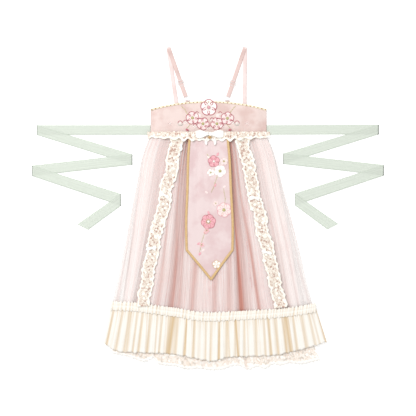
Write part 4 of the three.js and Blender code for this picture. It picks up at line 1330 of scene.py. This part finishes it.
def makeStraps():
    for name in ("left", "right"):
        # the strap's fold lies at its node's top outer corner and its end at the bottom inner one
        low, high = nodeBox("strap_front_" + name)
        outer, inner = (low[0], high[0]) if name == "left" else (high[0], low[0])
        inset = straps["nodeHalfWidth"] * (1 if name == "left" else -1)
        fold = np.array([outer + inset, high[1]])
        frontEnd = np.array([inner - inset, low[1]])
        backEnd = np.array(straps["backEnds"][name], float)
        up, downward = unit(fold - backEnd), unit(frontEnd - fold)
        crease = unit(up + downward)
        crease = crease if crease[0] > 0 else -crease
        sliderAt = mix(fold, frontEnd, straps["sliderShare"])
        backGrid = strapStrip([{"start": backEnd, "end": fold, "lastSide": crease, "count": 40,
                                "heights": [0.9, 0.9, 0.9, 1.2]}])
        back = clothWall("strapBack_" + name, backGrid, straps["wall"], looks["strapBack"])
        sheetOf(back, ["strap_back_" + name])
        frontGrid = strapStrip([
            {"start": fold, "end": sliderAt, "firstSide": crease, "count": 40,
             "heights": [1.3, 1.9, 1.9, 2.4]},
            {"start": mix(sliderAt, frontEnd, 0.05), "end": frontEnd, "count": 16,
             "heights": [2.4, 1.9, 1.9, 2.3]},
        ])
        front = clothWall("strapFront_" + name, frontGrid, straps["wall"], looks["strap"])
        sheetOf(front, ["strap_front_" + name])
        returnGrid = strapStrip([{"start": frontEnd, "end": mix(sliderAt, frontEnd, -0.04), "count": 16,
                                  "heights": [2.6, 3.0, 3.0, 3.2]}])
        returned = clothWall("strapReturn_" + name, returnGrid, straps["wall"], looks["strap"])
        ride(returned, [])
        ringX, ringY = nodeMiddle("strap_ring_" + name)
        tabTop = np.array([ringX, ringY - 3])
        tabEnd = tabTop - np.array([0, 17])
        tabGrid = strapStrip([{"start": tabTop, "end": tabEnd, "count": 10,
                               "heights": [2.6, 2.2, 1.6, 1.2]}])
        tab = clothWall("strapTab_" + name, tabGrid, straps["wall"], looks["strap"])
        ride(tab, ["strap_tab_" + name])
        bundle = Bundle("strapRing_" + name)
        angle = np.linspace(0, 2 * math.pi, 32, endpoint=False)
        bundle.thread(np.stack([ringX + np.cos(angle) * straps["ringRadius"],
                                ringY + np.sin(angle) * straps["ringRadius"], 3.2 + 0 * angle], -1),
                      1.1, looks["ring"], closed=True, sides=10)
        ride(bundle.made(), ["strap_ring_" + name])
        bundle = Bundle("strapSlider_" + name)
        cross = unit([downward[1], -downward[0]])
        cross = cross if cross[0] > 0 else -cross
        halfWidth, halfHeight = straps["width"] / 2 + 2.2, 7.0
        corners = [(-1, -1), (1, -1), (1, 1), (-1, 1)]
        outline = []
        for number in range(4):
            a, b = np.array(corners[number], float), np.array(corners[(number + 1) % 4], float)
            outline += [mix(a, b, share) for share in (0.08, 0.3, 0.5, 0.7, 0.92)]
        path = np.array([sliderAt + cross * place[0] * halfWidth + downward * place[1] * halfHeight
                         for place in outline])
        bundle.thread(np.column_stack([path, np.full(len(path), 3.4)]), 1.0, looks["plastic"], True, 8)
        bar = np.array([sliderAt - cross * halfWidth, sliderAt, sliderAt + cross * halfWidth])
        bundle.thread(np.column_stack([bar, [3.6, 4.4, 3.6]]), 1.0, looks["plastic"], sides=8)
        ride(bundle.made(), ["strap_slider_" + name])


ties = {
    "wall": 0.25,
    # fold edges from the side seam to the free end, upper corner and lower corner
    "left": [((-146.5, 213.5), (-146.5, 189)), ((-442, 213.5), (-442, 188.5)),
             ((-195, 138.5), (-195, 111.5)), ((-454, 109.5), (-454, 82.5)),
             ((-224.5, 36.5), (-224.5, 6)), ((-337, -42), (-309, -56))],
    "right": [((149.5, 213.5), (149.5, 189)), ((441, 215), (441, 190)),
              ((193.5, 140.5), (193.5, 113.5)), ((454, 111), (454, 84)),
              ((224, 37.5), (224, 7)), ((336, -41), (307.5, -55))],
}


def makeTies():
    for seed, name in enumerate(("left", "right")):
        edges = np.array(ties[name], float)
        upper, lower, heights = [], [], []
        for run in range(5):
            share = np.linspace(0, 1, 60)[:, None]
            keep = slice(0, 60 if run == 4 else 59)
            upper.append(mix(edges[run, 0], edges[run + 1, 0], share)[keep])
            lower.append(mix(edges[run, 1], edges[run + 1, 1], share)[keep])
            turn = np.interp(share[:, 0], [0, 0.03, 0.97, 1], [0.5, 1, 1, 1.5]) - 0.5
            heights.append((0.6 + 0.42 * (run + turn))[keep])
        upper, lower, height = np.concatenate(upper), np.concatenate(lower), np.concatenate(heights)
        across = np.linspace(0, 1, 9)[:, None]
        x = mix(upper[None, :, 0], lower[None, :, 0], across)
        y = mix(upper[None, :, 1], lower[None, :, 1], across)
        along = np.arange(len(height))[None, :] * 4.0
        wave = ripple(101 + seed, along + 20 * across, 4, 160, 50) * 0.12
        selvedge = np.clip(np.abs(across * 2 - 1) * 8 - 7, 0, 1) + 0 * x
        points = stack(x, y, height[None, :] + wave + 0.12)
        piece = clothWall("tie" + name.capitalize(), points, ties["wall"], looks["ribbon"],
                          {"fold": selvedge * 0.8})
        replaced = ["tie_%s_%d" % (name, number) for number in range(1, 6)]
        sheetOf(piece, replaced)


makeStraps()
makeTies()
print("straps and ties done")

# Camera and light

studio = {
    "distance": 4.0, "frameWidth": 1.0733, "floor": tint(255, 255, 255), "floorReach": 6000,
    "floorGlow": 0.22, "worldStrength": 0.6,
    "lights": {"keyLight": {"place": (-1.1, 1.3, 2.7), "size": 1.6, "power": 62},
               "fillLight": {"place": (1.8, -1.2, 2.4), "size": 2.0, "power": 17}},
}


def makeStage():
    scene = bpy.context.scene
    scene.view_settings.view_transform = "Standard"
    camera = bpy.data.objects.new("camera", bpy.data.cameras.new("camera"))
    camera.data.sensor_width = 36
    camera.data.lens = 36 * studio["distance"] / studio["frameWidth"]
    camera.data.clip_end = 50
    camera.location = (0, 0, studio["distance"])
    scene.collection.objects.link(camera)
    scene.camera = camera
    look = Look("floor", Specular_IOR_Level=0.0)
    look.colour(studio["floor"])
    look.rough(1.0)
    look.put(look.shader.inputs["Emission Color"], tint(255, 255, 255))
    look.shader.inputs["Emission Strength"].default_value = studio["floorGlow"]
    reach, low = studio["floorReach"], -0.3
    corners = [(-reach, -reach, low), (reach, -reach, low), (reach, reach, low), (-reach, reach, low)]
    floor = makeMesh("floor", corners, [[0, 1, 2, 3]], look.material)
    world = bpy.data.worlds.new("world")
    world.use_nodes = True
    background = world.node_tree.nodes["Background"]
    background.inputs["Color"].default_value = (1, 1, 1, 1)
    background.inputs["Strength"].default_value = studio["worldStrength"]
    scene.world = world
    for name, given in studio["lights"].items():
        light = bpy.data.lights.new(name, "AREA")
        light.energy = given["power"]
        light.size = given["size"]
        lamp = bpy.data.objects.new(name, light)
        lamp.location = given["place"]
        # turned so that it looks at the middle of the dress
        direction = np.array([0, 0, 0]) - np.array(given["place"])
        flatReach = math.hypot(direction[0], direction[1])
        heading = math.atan2(direction[1], direction[0]) - math.pi / 2
        lamp.rotation_euler = (math.atan2(flatReach, -direction[2]), 0, heading)
        scene.collection.objects.link(lamp)


makeStage()
